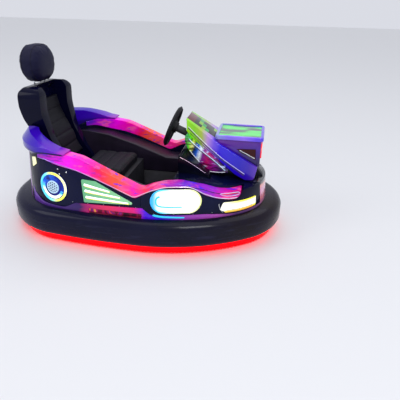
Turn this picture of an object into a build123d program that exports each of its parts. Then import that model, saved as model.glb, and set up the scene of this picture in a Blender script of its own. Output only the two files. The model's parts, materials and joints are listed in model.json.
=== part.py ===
from build123d import *
from math import cos, hypot, radians, sin, sqrt, tan
import os

# Battery bumper car styled as a racing kart. Millimetres, X forward, Y left, Z up.
# The origin is on the floor under the middle of the bumper ring.

# Running clearances and seams
seat_gap = 0.3
shaft_gap = 0.05
panel_seam = 2.0
wheel_room = 12.0

# Plan outline of the rubber ring, made of tangent arcs
half_length = 925.0
half_width = 575.0
widest_x = 40.0
ring_nose_radius = 420.0
rear_side_radius = 4500.0
rear_corner_radius = 440.0
rear_back_radius = 1400.0

# Rubber ring section, rounded in three facets above and below
ring_width = 165.0
ring_bottom = 60.0
ring_top = 238.0
ring_shoulder = 34.0
ring_shoulder_round = 14.0

# Light strip under the ring
strip_width = 14.0
strip_bottom = 16.0
strip_inset = 50.0

# Chassis plate
pan_bottom = 120.0
pan_thickness = 8.0

# Body shell: the same outline drawn in, with its nose and tail set back from the ring
shell_inset = 68.0
shell_nose_radius = 474.0
shell_nose_back = 42.0
shell_tail_in = 50.0
shell_taper = 5.0
shell_top = 720.0
wall = 70.0

# Wheels, all of one size
wheel_radius = 100.0
tyre_width = 56.0
tyre_height = 26.0
tyre_shoulder = 9.0
hub_edge = 3.0
axle_radius = 12.0
rear_axle_from_tail = 445.0
rear_wheel_from_side = 257.0
beam_size = 40.0
stub_past_hub = 8.0
collar_thickness = 6.0

# Drive unit that turns under the nose
drive_axle_from_nose = 365.0
tower_radius = 124.0
tower_wall = 8.0
tower_height = 104.0
king_pin_radius = 20.0
fork_thickness = 12.0
fork_width = 60.0
fork_side_gap = 7.0
crown_thickness = 10.0
crown_gap = 6.0

# Cockpit
well_from_side = 309.0
tub_thickness = 4.0
battery_length = 420.0
battery_height = 190.0
battery_room = 55.0
seat_box_length = 480.0
seat_box_room = 31.0
seat_box_top = 345.0
seat_box_wall = 6.0

# Seat
seat_room = 44.0
seat_well_gap = 8.0
trough_half_width = 140.0
trough_depth = 66.0
pad_thickness = 34.0
pad_side_gap = 4.0
cushion_length = 270.0
cushion_height = 62.0
cushion_chamfer = 16.0
post_radius = 7.0
post_y = 62.0
post_low = 872.0
post_reach = 60.0
headrest_low = 932.0
headrest_high = 1154.0
headrest_depth = 118.0
headrest_half_width = 140.0
headrest_corner = 62.0
headrest_corner_round = 22.0
headrest_chamfer = 30.0

# Steering
wheel_centre_z = 678.0
wheel_lean = 22.0
rim_radius = 128.0
rim_tube = 13.0
hand_boss_radius = 36.0
hand_boss_height = 30.0
boss_pin_radius = 13.0
boss_pin_length = 20.0
spoke_width = 26.0
spoke_thickness = 10.0
column_radius = 24.0
column_length = 130.0

# Pod on the front of the console
pod_half_width = 150.0
pod_top = 682.0
pod_rim_height = 26.0
pod_rim_width = 20.0
pod_recess = 12.0
pod_glass = 5.0
pod_body_inset = 13.0
pod_body_depth = 220.0
window_depth = 6.0

# Places along the car, measured from the two axles
rear_axle_x = rear_axle_from_tail - half_length
drive_x = half_length - drive_axle_from_nose
rear_wheel_y = half_width - rear_wheel_from_side
well_half_width = half_width - well_from_side
seat_box_half_width = well_half_width - seat_box_room
seat_half_width = well_half_width - seat_room
seat_box_rear = rear_axle_x - 120.0
seat_box_front = seat_box_rear + seat_box_length
well_rear = rear_axle_x - 160.0
seat_well_rear = rear_axle_x - 295.0
post_x = rear_axle_x - 268.0
headrest_x = rear_axle_x - 261.0
tail_edge = rear_axle_x - 198.0
wheel_lamp_x = rear_axle_x - 8.0
liner_front = drive_x - 315.0
footwell_front = drive_x - 175.0
wheel_centre_x = drive_x - 392.0
split_x = drive_x - 482.0
pod_rear = drive_x - 93.0
pod_front = drive_x + 210.0
beyond = half_length + half_width


def from_rear(rows):
    """Profile rows of X, Z and bend radius, moved from the rear axle to the car's own X."""
    return [(rear_axle_x + x, z, bend) for x, z, bend in rows]


def from_drive(rows):
    """Profile rows of X, Z and bend radius, moved from the drive axle to the car's own X."""
    return [(drive_x + x, z, bend) for x, z, bend in rows]


def raised(rows, rise):
    """The same profile rows, higher."""
    return [(x, z + rise, bend) for x, z, bend in rows]


def height_at(rows, x):
    """Height of a profile line at a place along the car."""
    for (x0, z0, _), (x1, z1, _) in zip(rows, rows[1:]):
        if x0 <= x <= x1:
            return z0 + (z1 - z0) * (x - x0) / (x1 - x0)


def tangent_centre(a, a_reach, b, b_reach):
    """Rear-hand point at two given distances from two centres."""
    gap = hypot(b[0] - a[0], b[1] - a[1])
    along = (a_reach**2 - b_reach**2 + gap**2) / (2 * gap)
    across = sqrt(a_reach**2 - along**2)
    ux = (b[0] - a[0]) / gap
    uy = (b[1] - a[1]) / gap
    first = (a[0] + ux * along - uy * across, a[1] + uy * along + ux * across)
    second = (a[0] + ux * along + uy * across, a[1] + uy * along - ux * across)
    return first if first[0] < second[0] else second


def out_from(centre, radius, through):
    """Point at a radius from a centre, on the line through another point."""
    reach = hypot(through[0] - centre[0], through[1] - centre[1])
    return (
        centre[0] + radius * (through[0] - centre[0]) / reach,
        centre[1] + radius * (through[1] - centre[1]) / reach,
    )


def round_edge(centre, radius, start, end):
    """Arc about a centre, by way of the point midway between its ends."""
    middle = ((start[0] + end[0]) / 2, (start[1] + end[1]) / 2)
    ThreePointArc(start, out_from(centre, radius, middle), end)


def oval(inset, nose_radius=ring_nose_radius, nose_back=0.0, tail_in=0.0):
    """Face of the plan outline, pulled in by an inset, in the open sketch."""
    nose_centre = (half_length - nose_back - nose_radius, 0.0)
    reach = nose_centre[0] - widest_x
    side_radius = (half_width**2 + reach**2 - nose_radius**2) / (2 * (half_width - nose_radius))
    front_centre = (widest_x, half_width - side_radius)
    side_centre = (widest_x, half_width - rear_side_radius)
    tail = tail_in - half_length
    back_centre = (tail + rear_back_radius, 0.0)
    corner_centre = tangent_centre(
        side_centre,
        rear_side_radius - rear_corner_radius,
        back_centre,
        rear_back_radius - rear_corner_radius,
    )
    tip = (nose_centre[0] + nose_radius - inset, 0.0)
    widest = (widest_x, half_width - inset)
    nose_end = out_from(front_centre, side_radius - inset, nose_centre)
    corner_start = out_from(side_centre, rear_side_radius - inset, corner_centre)
    corner_end = out_from(back_centre, rear_back_radius - inset, corner_centre)
    with BuildLine() as outline:
        round_edge(nose_centre, nose_radius - inset, tip, nose_end)
        round_edge(front_centre, side_radius - inset, nose_end, widest)
        round_edge(side_centre, rear_side_radius - inset, widest, corner_start)
        round_edge(corner_centre, rear_corner_radius - inset, corner_start, corner_end)
        round_edge(back_centre, rear_back_radius - inset, corner_end, (tail + inset, 0.0))
        mirror(about=Plane.XZ)
    make_face(outline.edges())


def shell_oval(inset):
    """Face of the body shell's own outline, drawn in by an inset from the ring's side."""
    oval(inset, shell_nose_radius, shell_nose_back, shell_tail_in)


def shell_block(inset, low, high, taper=shell_taper):
    """Solid of the shell's outline between two heights."""
    with BuildPart() as block:
        with BuildSketch(Plane.XY.offset(low)):
            shell_oval(inset)
        extrude(amount=high - low, taper=taper)
    return block.part


def side_slab(rows, half_thickness=beyond):
    """Slab across the car under a side profile: rows of X, Z and the bend there."""
    with BuildPart() as slab:
        with BuildSketch(Plane.XZ):
            with BuildLine() as outline:
                FilletPolyline(
                    *[(x, z) for x, z, _ in rows],
                    radius=[bend for _, _, bend in rows],
                    close=True,
                )
            make_face(outline.edges())
        extrude(amount=half_thickness, both=True)
    return slab.part


body_low = ring_top + seat_gap
outer_block = shell_block(shell_inset, body_low, shell_top)
inner_block = shell_block(shell_inset + wall, body_low, shell_top)
liner_block = shell_block(shell_inset + wall + seat_gap, body_low, shell_top)

# Side profiles of the shell, as rows of X from an axle, Z and bend radius.
# Top of the sill, then bottom and top of the side band.
sill_rear = from_rear([(-198, 340, 0), (-172, 300, 50), (-105, 262, 120), (60, 252, 80), (140, 292, 40)])
sill_front = from_drive([(-472, 306, 10), (-424, 266, 35), (-110, 268, 200), (40, 252, 150)])
sill_front_height = 254.0
band_rear_edge = rear_axle_x - 118.0
band_low_rear = from_rear([(-118, 540, 0), (-55, 541, 100), (29, 520, 200), (171, 496, 300), (283, 460, 300)])
band_low_front = from_drive(
    [
        (-518, 364, 40),
        (-424, 414, 120),
        (-334, 442, 120),
        (-188, 442, 100),
        (-106, 390, 150),
        (-39, 362, 200),
        (40, 345, 100),
        (86, 344, 30),
        (108, 386, 12),
    ]
)
band_top_rear = from_rear([(-118, 571, 0), (-40, 589, 120), (100, 588, 100), (190, 574, 200)])
band_top_front = from_drive(
    [
        (-480, 418, 70),
        (-414, 446, 100),
        (-348, 462, 100),
        (-255, 467, 150),
        (-118, 431, 200),
        (-43, 401, 200),
        (20, 389, 100),
    ]
)
hood_line = from_drive([(-315 + seat_gap, 446, 0), (-205, 446, 0), (-40, 406, 0), (80, 391, 0), (220, 394, 0)])
hood_line += [(beyond, 394, 0)]
cowl_low = 548.0
liner_top = from_rear([(-80, 520, 0), (80, 500, 0), (290, 440, 0)])
liner_top += from_drive([(-510, 352, 0), (-315, 352, 0)])

# Rubber bumper ring
with BuildPart() as bumper_ring:
    with BuildSketch(Plane.XY.offset(ring_bottom)):
        oval(0.0)
    extrude(amount=ring_top - ring_bottom)
    chamfer(bumper_ring.edges().filter_by(Plane.XY), ring_shoulder)
    chamfer(bumper_ring.edges().filter_by(Plane.XY), ring_shoulder_round)
    with BuildSketch(Plane.XY.offset(ring_bottom)):
        oval(ring_width)
    extrude(amount=ring_top - ring_bottom, mode=Mode.SUBTRACT)

# Red light strip that hangs under the ring, its top cut to the ring's underside
with BuildPart() as light_strip:
    with BuildSketch(Plane.XY.offset(strip_bottom)):
        oval(strip_inset)
    extrude(amount=ring_bottom + ring_shoulder - strip_bottom)
    with BuildSketch(Plane.XY.offset(strip_bottom)):
        oval(strip_inset + strip_width)
    extrude(amount=ring_bottom + ring_shoulder - strip_bottom, mode=Mode.SUBTRACT)
    add(bumper_ring.part, mode=Mode.SUBTRACT)

# Chassis plate inside the ring, with wheel slots and the drive opening
pan_top = pan_bottom + pan_thickness
slot_length = 2 * (wheel_radius + wheel_room)
slot_breadth = tyre_width + 2 * wheel_room
with BuildPart() as chassis_pan:
    with BuildSketch(Plane.XY.offset(pan_bottom)):
        oval(ring_width + seat_gap)
    extrude(amount=pan_thickness)
    with BuildSketch(Plane.XY.offset(pan_bottom)):
        with Locations((drive_x, 0)):
            RegularPolygon(tower_radius, 8, major_radius=False)
        with Locations((rear_axle_x, rear_wheel_y), (rear_axle_x, -rear_wheel_y)):
            Rectangle(slot_length, slot_breadth)
    extrude(amount=pan_thickness, mode=Mode.SUBTRACT)

# Drive tower: an eight-sided upturned pot on the plate, with the king pin bore in its roof
tower_top = pan_top + tower_height
with BuildPart() as drive_tower:
    with BuildSketch(Plane.XY.offset(pan_top)):
        with Locations((drive_x, 0)):
            RegularPolygon(tower_radius + tower_wall, 8, major_radius=False)
    extrude(amount=tower_height)
    with BuildSketch(Plane.XY.offset(pan_top)):
        with Locations((drive_x, 0)):
            RegularPolygon(tower_radius, 8, major_radius=False)
    extrude(amount=tower_height - tower_wall, mode=Mode.SUBTRACT)
    with BuildSketch(Plane.XY.offset(pan_top)):
        with Locations((drive_x, 0)):
            Circle(king_pin_radius + shaft_gap)
    extrude(amount=tower_height, mode=Mode.SUBTRACT)

# Drive fork: crown plate, king pin, two legs and the axle pin
fork_inner = tyre_width / 2 + fork_side_gap
fork_outer = fork_inner + fork_thickness
crown_low = tower_top - tower_wall - crown_gap - crown_thickness
with BuildPart() as drive_fork:
    with BuildSketch(Plane.XY.offset(crown_low)):
        with Locations((drive_x, 0)):
            Rectangle(fork_width, 2 * fork_outer)
    extrude(amount=crown_thickness)
    with BuildSketch(Plane.XY.offset(crown_low)):
        with Locations((drive_x, 0)):
            Circle(king_pin_radius)
    extrude(amount=tower_top - crown_low)
    leg_low = wheel_radius - fork_width / 2
    with Locations((drive_x, fork_inner + fork_thickness / 2, (leg_low + crown_low) / 2)):
        Box(fork_width, fork_thickness, crown_low - leg_low)
    mirror(about=Plane.XZ)
    with BuildSketch(Plane.XZ):
        with Locations((drive_x, wheel_radius)):
            Circle(axle_radius)
    extrude(amount=fork_inner + fork_thickness / 2, both=True)


hub_radius = wheel_radius - tyre_height


def turned(x, y, rows):
    """Solid turned about the axle at x, from rows of radius and distance along Y."""
    with BuildPart() as part:
        with BuildSketch(Plane.XY):
            with BuildLine() as outline:
                Polyline(*rows, close=True)
            make_face(outline.edges())
        revolve(axis=Axis.Y)
    return Pos(x, y, wheel_radius) * part.part


def tyre_part(x, y):
    """Solid rubber tyre with chamfered shoulders."""
    half = tyre_width / 2
    rows = [
        (hub_radius, -half),
        (wheel_radius - tyre_shoulder, -half),
        (wheel_radius, tyre_shoulder - half),
        (wheel_radius, half - tyre_shoulder),
        (wheel_radius - tyre_shoulder, half),
        (hub_radius, half),
    ]
    return turned(x, y, rows)


def rim_part(x, y):
    """Wheel centre: a plain disc with its axle bore."""
    bore = axle_radius + shaft_gap
    edge = tyre_width / 2 - hub_edge
    return turned(x, y, [(bore, -edge), (hub_radius, -edge), (hub_radius, edge), (bore, edge)])


# Rear axle: square beam under the plate, with a stub and collar at each end
stub_end = rear_wheel_y + fork_inner + stub_past_hub
with BuildPart() as rear_axle:
    with Locations((rear_axle_x, 0, wheel_radius)):
        Box(beam_size, 2 * (rear_wheel_y - fork_inner - 1), beam_size)
    with BuildSketch(Plane.XZ):
        with Locations((rear_axle_x, wheel_radius)):
            Circle(axle_radius)
    extrude(amount=stub_end, both=True)
    with BuildSketch(Plane.XZ.offset(stub_end - collar_thickness)):
        with Locations((rear_axle_x, wheel_radius)):
            Circle(axle_radius + collar_thickness)
    extrude(amount=collar_thickness)
    mirror(about=Plane.XZ)

# Battery: one plain block under the seat
floor_top = pan_top + seat_gap + tub_thickness
seat_box_x = (seat_box_rear + seat_box_front) / 2
with BuildPart() as battery:
    with Locations((seat_box_x, 0, floor_top + seat_gap + battery_height / 2)):
        Box(battery_length, 2 * (seat_box_half_width - battery_room), battery_height)

# Floor tub: open tray between the rear wheels and the front bulkhead
tub_rear = well_rear + seat_gap
tub_length = footwell_front - tub_rear
tub_width = 2 * (well_half_width - seat_gap)
with BuildPart() as floor_tub:
    with BuildSketch(Plane.XY.offset(pan_top + seat_gap)):
        with Locations(((tub_rear + footwell_front) / 2, 0)):
            Rectangle(tub_length, tub_width)
    extrude(amount=ring_top - pan_top - seat_gap)
    with BuildSketch(Plane.XY.offset(floor_top)):
        with Locations(((tub_rear + footwell_front) / 2, 0)):
            Rectangle(tub_length - 2 * tub_thickness, tub_width - 2 * tub_thickness)
    extrude(amount=ring_top, mode=Mode.SUBTRACT)

# Cockpit liner: the dark shelves each side of the seat and behind it
seat_well_half = seat_half_width + seat_well_gap
liner_rows = [(-beyond, body_low, 0), (-beyond, 520, 0)] + liner_top + [(liner_front, body_low, 0)]
with BuildPart() as cockpit_liner:
    add(liner_block)
    add(side_slab(liner_rows), mode=Mode.INTERSECT)
    with BuildSketch(Plane.XY.offset(body_low)):
        with Locations(((well_rear + beyond) / 2, 0)):
            Rectangle(beyond - well_rear, 2 * well_half_width)
        with Locations((seat_well_rear / 2, 0)):
            Rectangle(-seat_well_rear, 2 * seat_well_half)
    extrude(amount=shell_top, mode=Mode.SUBTRACT)

# Seat box over the battery, open below
with BuildPart() as seat_box:
    with BuildSketch(Plane.XY.offset(floor_top)):
        with Locations((seat_box_x, 0)):
            Rectangle(seat_box_length, 2 * seat_box_half_width)
    extrude(amount=seat_box_top - floor_top)
    with BuildSketch(Plane.XY.offset(floor_top)):
        with Locations((seat_box_x, 0)):
            Rectangle(seat_box_length - 2 * seat_box_wall, 2 * (seat_box_half_width - seat_box_wall))
    extrude(amount=seat_box_top - floor_top - seat_box_wall, mode=Mode.SUBTRACT)

# Lamps let into the side panels, as side profiles
lamp_depth = 10.0
lamp_proud = 4.0
groove_depth = 8.0
wheel_lamp_z = 377.0
wheel_lamp_radius = 97.0
side_lamp_length = 292.0
side_lamp_height = 144.0
side_lamp_x = drive_x - 272.0
side_lamp_z = 357.0
side_lamp = [
    (side_lamp_x + x * side_lamp_length / 2, side_lamp_z + z * side_lamp_height / 2, side_lamp_height / 2 - 0.1)
    for x, z in ((-1, -1), (1, -1), (1, 1), (-1, 1))
]
triangle_lamp = from_rear([(198, 305, 8), (188, 452, 10), (282, 448, 20)]) + from_drive([(-509, 326, 8)])
headlight = from_drive([(-14, 288, 10), (2, 331, 10), (192, 323, 8), (196, 264, 8), (22, 268, 20)])
tail_lamp = from_rear([(-172, 468, 6), (-170, 532, 6), (-134, 541, 6), (-128, 500, 6)])
groove = [(rear_axle_x + 224, 244, 4), (rear_axle_x + 224, 268, 4), (drive_x - 477, 268, 4), (drive_x - 470, 244, 4)]
lamp_outer = shell_block(shell_inset - lamp_proud, body_low, shell_top)
lamp_inner = shell_block(shell_inset + lamp_depth, body_low, shell_top)
pocket_inner = shell_block(shell_inset + lamp_depth + seat_gap, body_low, shell_top)


def grown(rows, gap):
    """Slab of a lamp's side profile, its outline grown by a gap."""
    with BuildPart() as slab:
        with BuildSketch(Plane.XZ):
            with BuildLine() as outline:
                FilletPolyline(
                    *[(x, z) for x, z, _ in rows],
                    radius=[bend for _, _, bend in rows],
                    close=True,
                )
            make_face(outline.edges())
            if gap > 0:
                offset(amount=gap)
        extrude(amount=beyond, both=True)
    return slab.part


def lamp_slabs(gap):
    """Slabs of all lamp outlines, each grown by a gap."""
    with BuildPart() as disc:
        with BuildSketch(Plane.XZ):
            with Locations((wheel_lamp_x, wheel_lamp_z)):
                Circle(wheel_lamp_radius + gap)
        extrude(amount=beyond, both=True)
    return {
        "wheel_lamps": disc.part,
        "side_lamps": grown(side_lamp, gap),
        "triangle_lamps": grown(triangle_lamp, gap),
        "headlights": grown(headlight, gap),
        "tail_lamps": grown(tail_lamp, gap),
    }


lamp_parts = {}
for name, slab in lamp_slabs(0.0).items():
    with BuildPart() as lamp:
        add(lamp_outer)
        add(lamp_inner, mode=Mode.SUBTRACT)
        add(slab, mode=Mode.INTERSECT)
    lamp_parts[name] = lamp.part
pockets = {}
for name, slab in lamp_slabs(seat_gap).items():
    with BuildPart() as pocket:
        add(slab)
        add(pocket_inner, mode=Mode.SUBTRACT)
    pockets[name] = pocket.part
with BuildPart() as sill_groove:
    add(side_slab(groove))
    add(shell_block(shell_inset + groove_depth, body_low, shell_top), mode=Mode.SUBTRACT)
pockets["groove"] = sill_groove.part

# Shell panels cut from the wall by their side profiles
nose_half_width = 150.0


def wall_piece(profile, pocket_names=(), nose_cut=False):
    """Both sides of the body wall within a side profile."""
    with BuildPart() as piece:
        add(outer_block)
        add(inner_block, mode=Mode.SUBTRACT)
        add(side_slab(profile), mode=Mode.INTERSECT)
        if nose_cut:
            with BuildSketch(Plane.XY.offset(body_low)):
                with Locations((half_length, 0)):
                    Rectangle(half_length, 2 * (nose_half_width + panel_seam))
            extrude(amount=shell_top, mode=Mode.SUBTRACT)
        for pocket_name in pocket_names:
            add(pockets[pocket_name], mode=Mode.SUBTRACT)
    return piece.part


below = body_low - 1
sill_rows = [(tail_edge, below, 0)] + sill_rear + sill_front
sill_rows += [(beyond, sill_front_height, 0), (beyond, below, 0)]
side_sills = wall_piece(sill_rows, ("groove",), nose_cut=True)

seam_x = split_x + panel_seam
band_low = band_low_rear + band_low_front
band_top = band_top_rear + band_top_front
split_low = height_at(sill_rear[-1:] + sill_front[:1], split_x) + panel_seam
split_top = height_at(band_low_front, split_x) - panel_seam
quarter_rows = raised(sill_rear, panel_seam) + [(split_x, split_low, 0), (split_x, split_top, 0)]
quarter_rows += raised(band_low_front[:1], -panel_seam)
quarter_rows += raised(band_low_rear[:0:-1], -panel_seam)
quarter_rows += [
    (band_rear_edge - panel_seam, band_low_rear[0][1] - panel_seam, 0),
    (band_rear_edge - panel_seam, band_top_rear[0][1] - panel_seam, 0),
    (tail_edge + 18, cowl_low - seat_gap, 0),
    (tail_edge, cowl_low - seat_gap, 0),
]
rear_quarters = wall_piece(quarter_rows, ("wheel_lamps", "triangle_lamps", "tail_lamps"))

tip_x = band_low_front[-1][0] + panel_seam
fender_rows = [(seam_x, split_low, 0)] + raised(sill_front, panel_seam)
fender_rows += [(beyond, sill_front_height + panel_seam, 0), (beyond, 394, 0)]
fender_rows += hood_line[-2:-3:-1] + [(tip_x, height_at(hood_line, tip_x), 0)]
fender_rows += [(tip_x, band_low_front[-1][1] - panel_seam, 0)]
fender_rows += [(x, z - panel_seam, bend) for x, z, bend in band_low_front[-2:0:-1]]
fender_rows += [(seam_x, height_at(band_low_front, seam_x) - panel_seam, 0)]
front_fenders = wall_piece(fender_rows, ("side_lamps", "headlights"), nose_cut=True)

side_bands = wall_piece(band_low + band_top[::-1])

# Tail panel with the charge socket
socket_radius = 14.0
socket_z = 300.0
socket_depth = 31.0
tail_inset = shell_tail_in + shell_inset + (socket_z - body_low) * tan(radians(shell_taper))
tail_rows = [
    (-beyond, below, 0),
    (-beyond, cowl_low - seat_gap, 0),
    (tail_edge - panel_seam, cowl_low - seat_gap, 0),
    (tail_edge - panel_seam, below, 0),
]
with BuildPart() as tail_panel:
    add(wall_piece(tail_rows))
    with BuildSketch(Plane.YZ.offset(-beyond)):
        with Locations((0, socket_z)):
            Circle(socket_radius)
    extrude(amount=beyond - half_length + tail_inset + socket_depth, mode=Mode.SUBTRACT)

# Rear cowl: a bulging cap on the tail and quarters, notched behind the seat
cowl_levels = ((cowl_low, 95.0), (585.0, 68.0), (625.0, 68.0), (690.0, 120.0))
with BuildPart() as cowl_block:
    for level, inset in cowl_levels:
        with BuildSketch(Plane.XY.offset(level)):
            shell_oval(inset)
    loft(ruled=True)
cowl_rows = [
    (-beyond, cowl_low, 0),
    (tail_edge + 18, cowl_low, 0),
    (band_rear_edge, band_top_rear[0][1] + panel_seam, 0),
]
cowl_rows += raised(band_top_rear[1:2], panel_seam)
cowl_rows += from_rear([(95, 590, 4), (95, 600, 4), (36, 610, 60), (-35, 634, 100), (-120, 664, 150), (-210, 684, 100)])
cowl_rows += [(-beyond, 664, 0)]
with BuildPart() as rear_cowl:
    add(cowl_block.part)
    add(inner_block, mode=Mode.SUBTRACT)
    add(side_slab(cowl_rows), mode=Mode.INTERSECT)
    with BuildSketch(Plane.XY.offset(body_low)):
        with Locations((seat_well_rear / 2, 0)):
            Rectangle(-seat_well_rear, 2 * seat_well_half)
    extrude(amount=shell_top, mode=Mode.SUBTRACT)

# Nose panel between the front fenders, and the hood inside them, hollowed for the feet
hood_rows = [(liner_front + seat_gap, body_low, 0)] + hood_line + [(beyond, body_low, 0)]
foot_roof = 400.0
with BuildPart() as nose_panel:
    add(outer_block)
    add(inner_block, mode=Mode.SUBTRACT)
    with BuildSketch(Plane.XY.offset(body_low)):
        with Locations((half_length, 0)):
            Rectangle(half_length, 2 * nose_half_width)
    extrude(amount=shell_top, mode=Mode.INTERSECT)
    add(side_slab(hood_rows), mode=Mode.INTERSECT)
with BuildPart() as hood:
    add(liner_block)
    add(side_slab(hood_rows), mode=Mode.INTERSECT)
    with BuildSketch(Plane.XY.offset(body_low)):
        with Locations((footwell_front / 2, 0)):
            Rectangle(footwell_front, 2 * well_half_width)
    extrude(amount=foot_roof - body_low, mode=Mode.SUBTRACT)

# Console: plinth, fins and tray, side profiles under plans that widen forward
console_rear = drive_x - 290.0
tray_rear_half_width = 103.0
tray_half_width = 160.0
tray_wide_x = drive_x - 40.0
fin_spread = 24.0
plinth_half_width = 235.0
sole_half_width = 100.0
neck_half_width = 50.0
tray_under = from_drive([(-284, 686, 14), (-240, 634, 50), (-78, 535, 0), (46, 434, 50)])
tray_rows = from_drive([(-284, 762, 0)]) + tray_under
tray_rows += from_drive([(112, 400, 24), (168, 404, 24), (186, 490, 0), (-115, 655, 0)])
fin_under = from_drive([(-288, 622, 10), (-267, 575, 30), (-207, 512, 100), (-135, 448, 60), (-90, 440, 60)])
fin_rows = fin_under + from_drive([(2, 451, 0)])
fin_rows += [(drive_x + 2, height_at(tray_under, drive_x + 2) - seat_gap, 0)]
fin_rows += raised(tray_under[2::-1], -seat_gap)
plinth_rows = from_drive([(-308, 380, 0), (-308, 562, 10), (-282, 562, 20), (-116, 452, 40), (-80, 380, 0)])
sole_rows = from_drive([(-120, 380, 0), (-120, 470, 0), (140, 470, 0), (140, 380, 0)])
neck_rows = from_drive([(130, 380, 0), (130, 440, 0), (187, 440, 4), (221, 403, 4), (230, 380, 0)])


def wedge(rows, rear_half, front_half):
    """Side profile under a plan that widens from the console's rear to tray_wide_x."""
    with BuildPart() as piece:
        add(side_slab(rows, front_half + wall))
        with BuildSketch(Plane.XY):
            with BuildLine() as outline:
                Polyline(
                    (0, rear_half),
                    (console_rear, rear_half),
                    (tray_wide_x, front_half),
                    (beyond, front_half),
                    (beyond, -front_half),
                    (tray_wide_x, -front_half),
                    (console_rear, -rear_half),
                    (0, -rear_half),
                    close=True,
                )
            make_face(outline.edges())
        extrude(amount=beyond, mode=Mode.INTERSECT)
    return piece.part


console_tray = wedge(tray_rows, tray_rear_half_width, tray_half_width)
console_fins = wedge(fin_rows, tray_rear_half_width + fin_spread, tray_half_width + fin_spread)
with BuildPart() as console_plinth:
    add(side_slab(plinth_rows, plinth_half_width))
    add(side_slab(sole_rows, sole_half_width))
    add(side_slab(neck_rows, neck_half_width))
    add(side_slab(raised(hood_rows, seat_gap)), mode=Mode.SUBTRACT)
    add(console_tray, mode=Mode.SUBTRACT)
    add(console_fins, mode=Mode.SUBTRACT)

# Pod on the tray's slope: body with a window recess each side, rim and recessed top
pod_x = (pod_rear + pod_front) / 2
pod_length = pod_front - pod_rear
pod_seat = from_drive([(-115, 0, 0), (-115, 655 + seat_gap, 0), (487, 325 + seat_gap, 0), (487, 0, 0)])
pod_body_half = pod_half_width - pod_body_inset
window = from_drive([(43, 599, 6), (167, 605, 6), (170, 530, 6)])
with BuildPart() as pod_body:
    with BuildSketch(Plane.XY.offset(pod_top - pod_rim_height)):
        with Locations((pod_x, 0)):
            RectangleRounded(pod_length - 2 * pod_body_inset, 2 * pod_body_half, 18)
    extrude(amount=-pod_body_depth)
    add(side_slab(pod_seat), mode=Mode.SUBTRACT)
    window_inner = pod_body_half - window_depth
    window_slab = side_slab(window) - side_slab(window, window_inner)
    add(window_slab, mode=Mode.SUBTRACT)
with BuildPart() as pod_rim:
    with BuildSketch(Plane.XY.offset(pod_top - pod_rim_height)):
        with Locations((pod_x, 0)):
            RectangleRounded(pod_length, 2 * pod_half_width, 26)
    extrude(amount=pod_rim_height)
    chamfer(pod_rim.edges().group_by(Axis.Z)[-1], 5)
    with BuildSketch(Plane.XY.offset(pod_top - pod_recess)):
        with Locations((pod_x, 0)):
            RectangleRounded(pod_length - 2 * pod_rim_width, 2 * (pod_half_width - pod_rim_width), 12)
    extrude(amount=pod_recess, mode=Mode.SUBTRACT)
glass_room = pod_rim_width + seat_gap
with BuildPart() as pod_glass_top:
    with BuildSketch(Plane.XY.offset(pod_top - pod_recess)):
        with Locations((pod_x, 0)):
            RectangleRounded(pod_length - 2 * glass_room, 2 * (pod_half_width - glass_room), 12)
    extrude(amount=pod_glass)

# Red bars on the front corners of the pod
bar_width = 14.0
bar_proud = 7.0
bar_low = 545.0
bar_high = 637.0
bar_y = 118.0
with BuildPart() as light_bars:
    with Locations((pod_front - pod_body_inset + bar_proud / 2, bar_y, (bar_low + bar_high) / 2)):
        Box(bar_proud, bar_width, bar_high - bar_low)
    mirror(about=Plane.XZ)

# Seat shell: a bucket with a trough in front and two belt slots, rows measured from the rear axle
seat_low = seat_box_top + seat_gap
seat_top = 916.0
seat_back = from_rear([(-116, seat_low, 0), (-186, 480, 100), (-212, 560, 150), (-288, 715, 150)])
seat_back += from_rear([(-306, 800, 100), (-304, 886, 40), (-280, seat_top, 20)])
seat_front = from_rear([(-184, seat_top, 20), (-154, 880, 50), (-160, 760, 200)])
seat_front += from_rear([(-130, 600, 200), (-60, 450, 150), (10, seat_low, 0)])
seat_side = [(168, seat_low, 0), (190, 480, 200), (seat_half_width, 760, 300), (seat_half_width, seat_top, 70)]
belt_slot = [(72, 894, 10), (164, 888, 12), (78, 836, 12)]
trough = from_rear([(-54, 330, 0), (-131, 480, 100), (-157, 560, 150), (-233, 715, 150)])
trough += from_rear([(-251, 800, 100), (-249, 886, 40), (-215, 990, 0)])
trough_front = rear_axle_x + 180


def end_slab(rows):
    """Slab along the car's rear half under an end profile: rows of Y, Z and the bend there."""
    with BuildPart() as slab:
        with BuildSketch(Plane.YZ.offset(-beyond)):
            with BuildLine() as outline:
                FilletPolyline(
                    *[(y, z) for y, z, _ in rows],
                    radius=[bend for _, _, bend in rows],
                    close=True,
                )
            make_face(outline.edges())
        extrude(amount=beyond)
    return slab.part


def trough_slab(forward, half_thickness):
    """All that lies ahead of the trough's back line, moved forward."""
    rows = [(x + forward, z, bend) for x, z, bend in trough]
    return side_slab([(trough_front, 330, 0)] + rows + [(trough_front, 990, 0)], half_thickness)


with BuildPart() as seat_shell:
    add(side_slab(seat_back + seat_front, seat_half_width + wall))
    add(end_slab(seat_side + [(-y, z, bend) for y, z, bend in seat_side[::-1]]), mode=Mode.INTERSECT)
    add(trough_slab(0, trough_half_width), mode=Mode.SUBTRACT)
    add(end_slab(belt_slot), mode=Mode.SUBTRACT)
    add(end_slab([(-y, z, bend) for y, z, bend in belt_slot]), mode=Mode.SUBTRACT)
    with BuildSketch(Plane.XY.offset(post_low - seat_gap)):
        with Locations((post_x, -post_y), (post_x, post_y)):
            Circle(post_radius + seat_gap)
    extrude(amount=headrest_low - post_low, mode=Mode.SUBTRACT)

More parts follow.
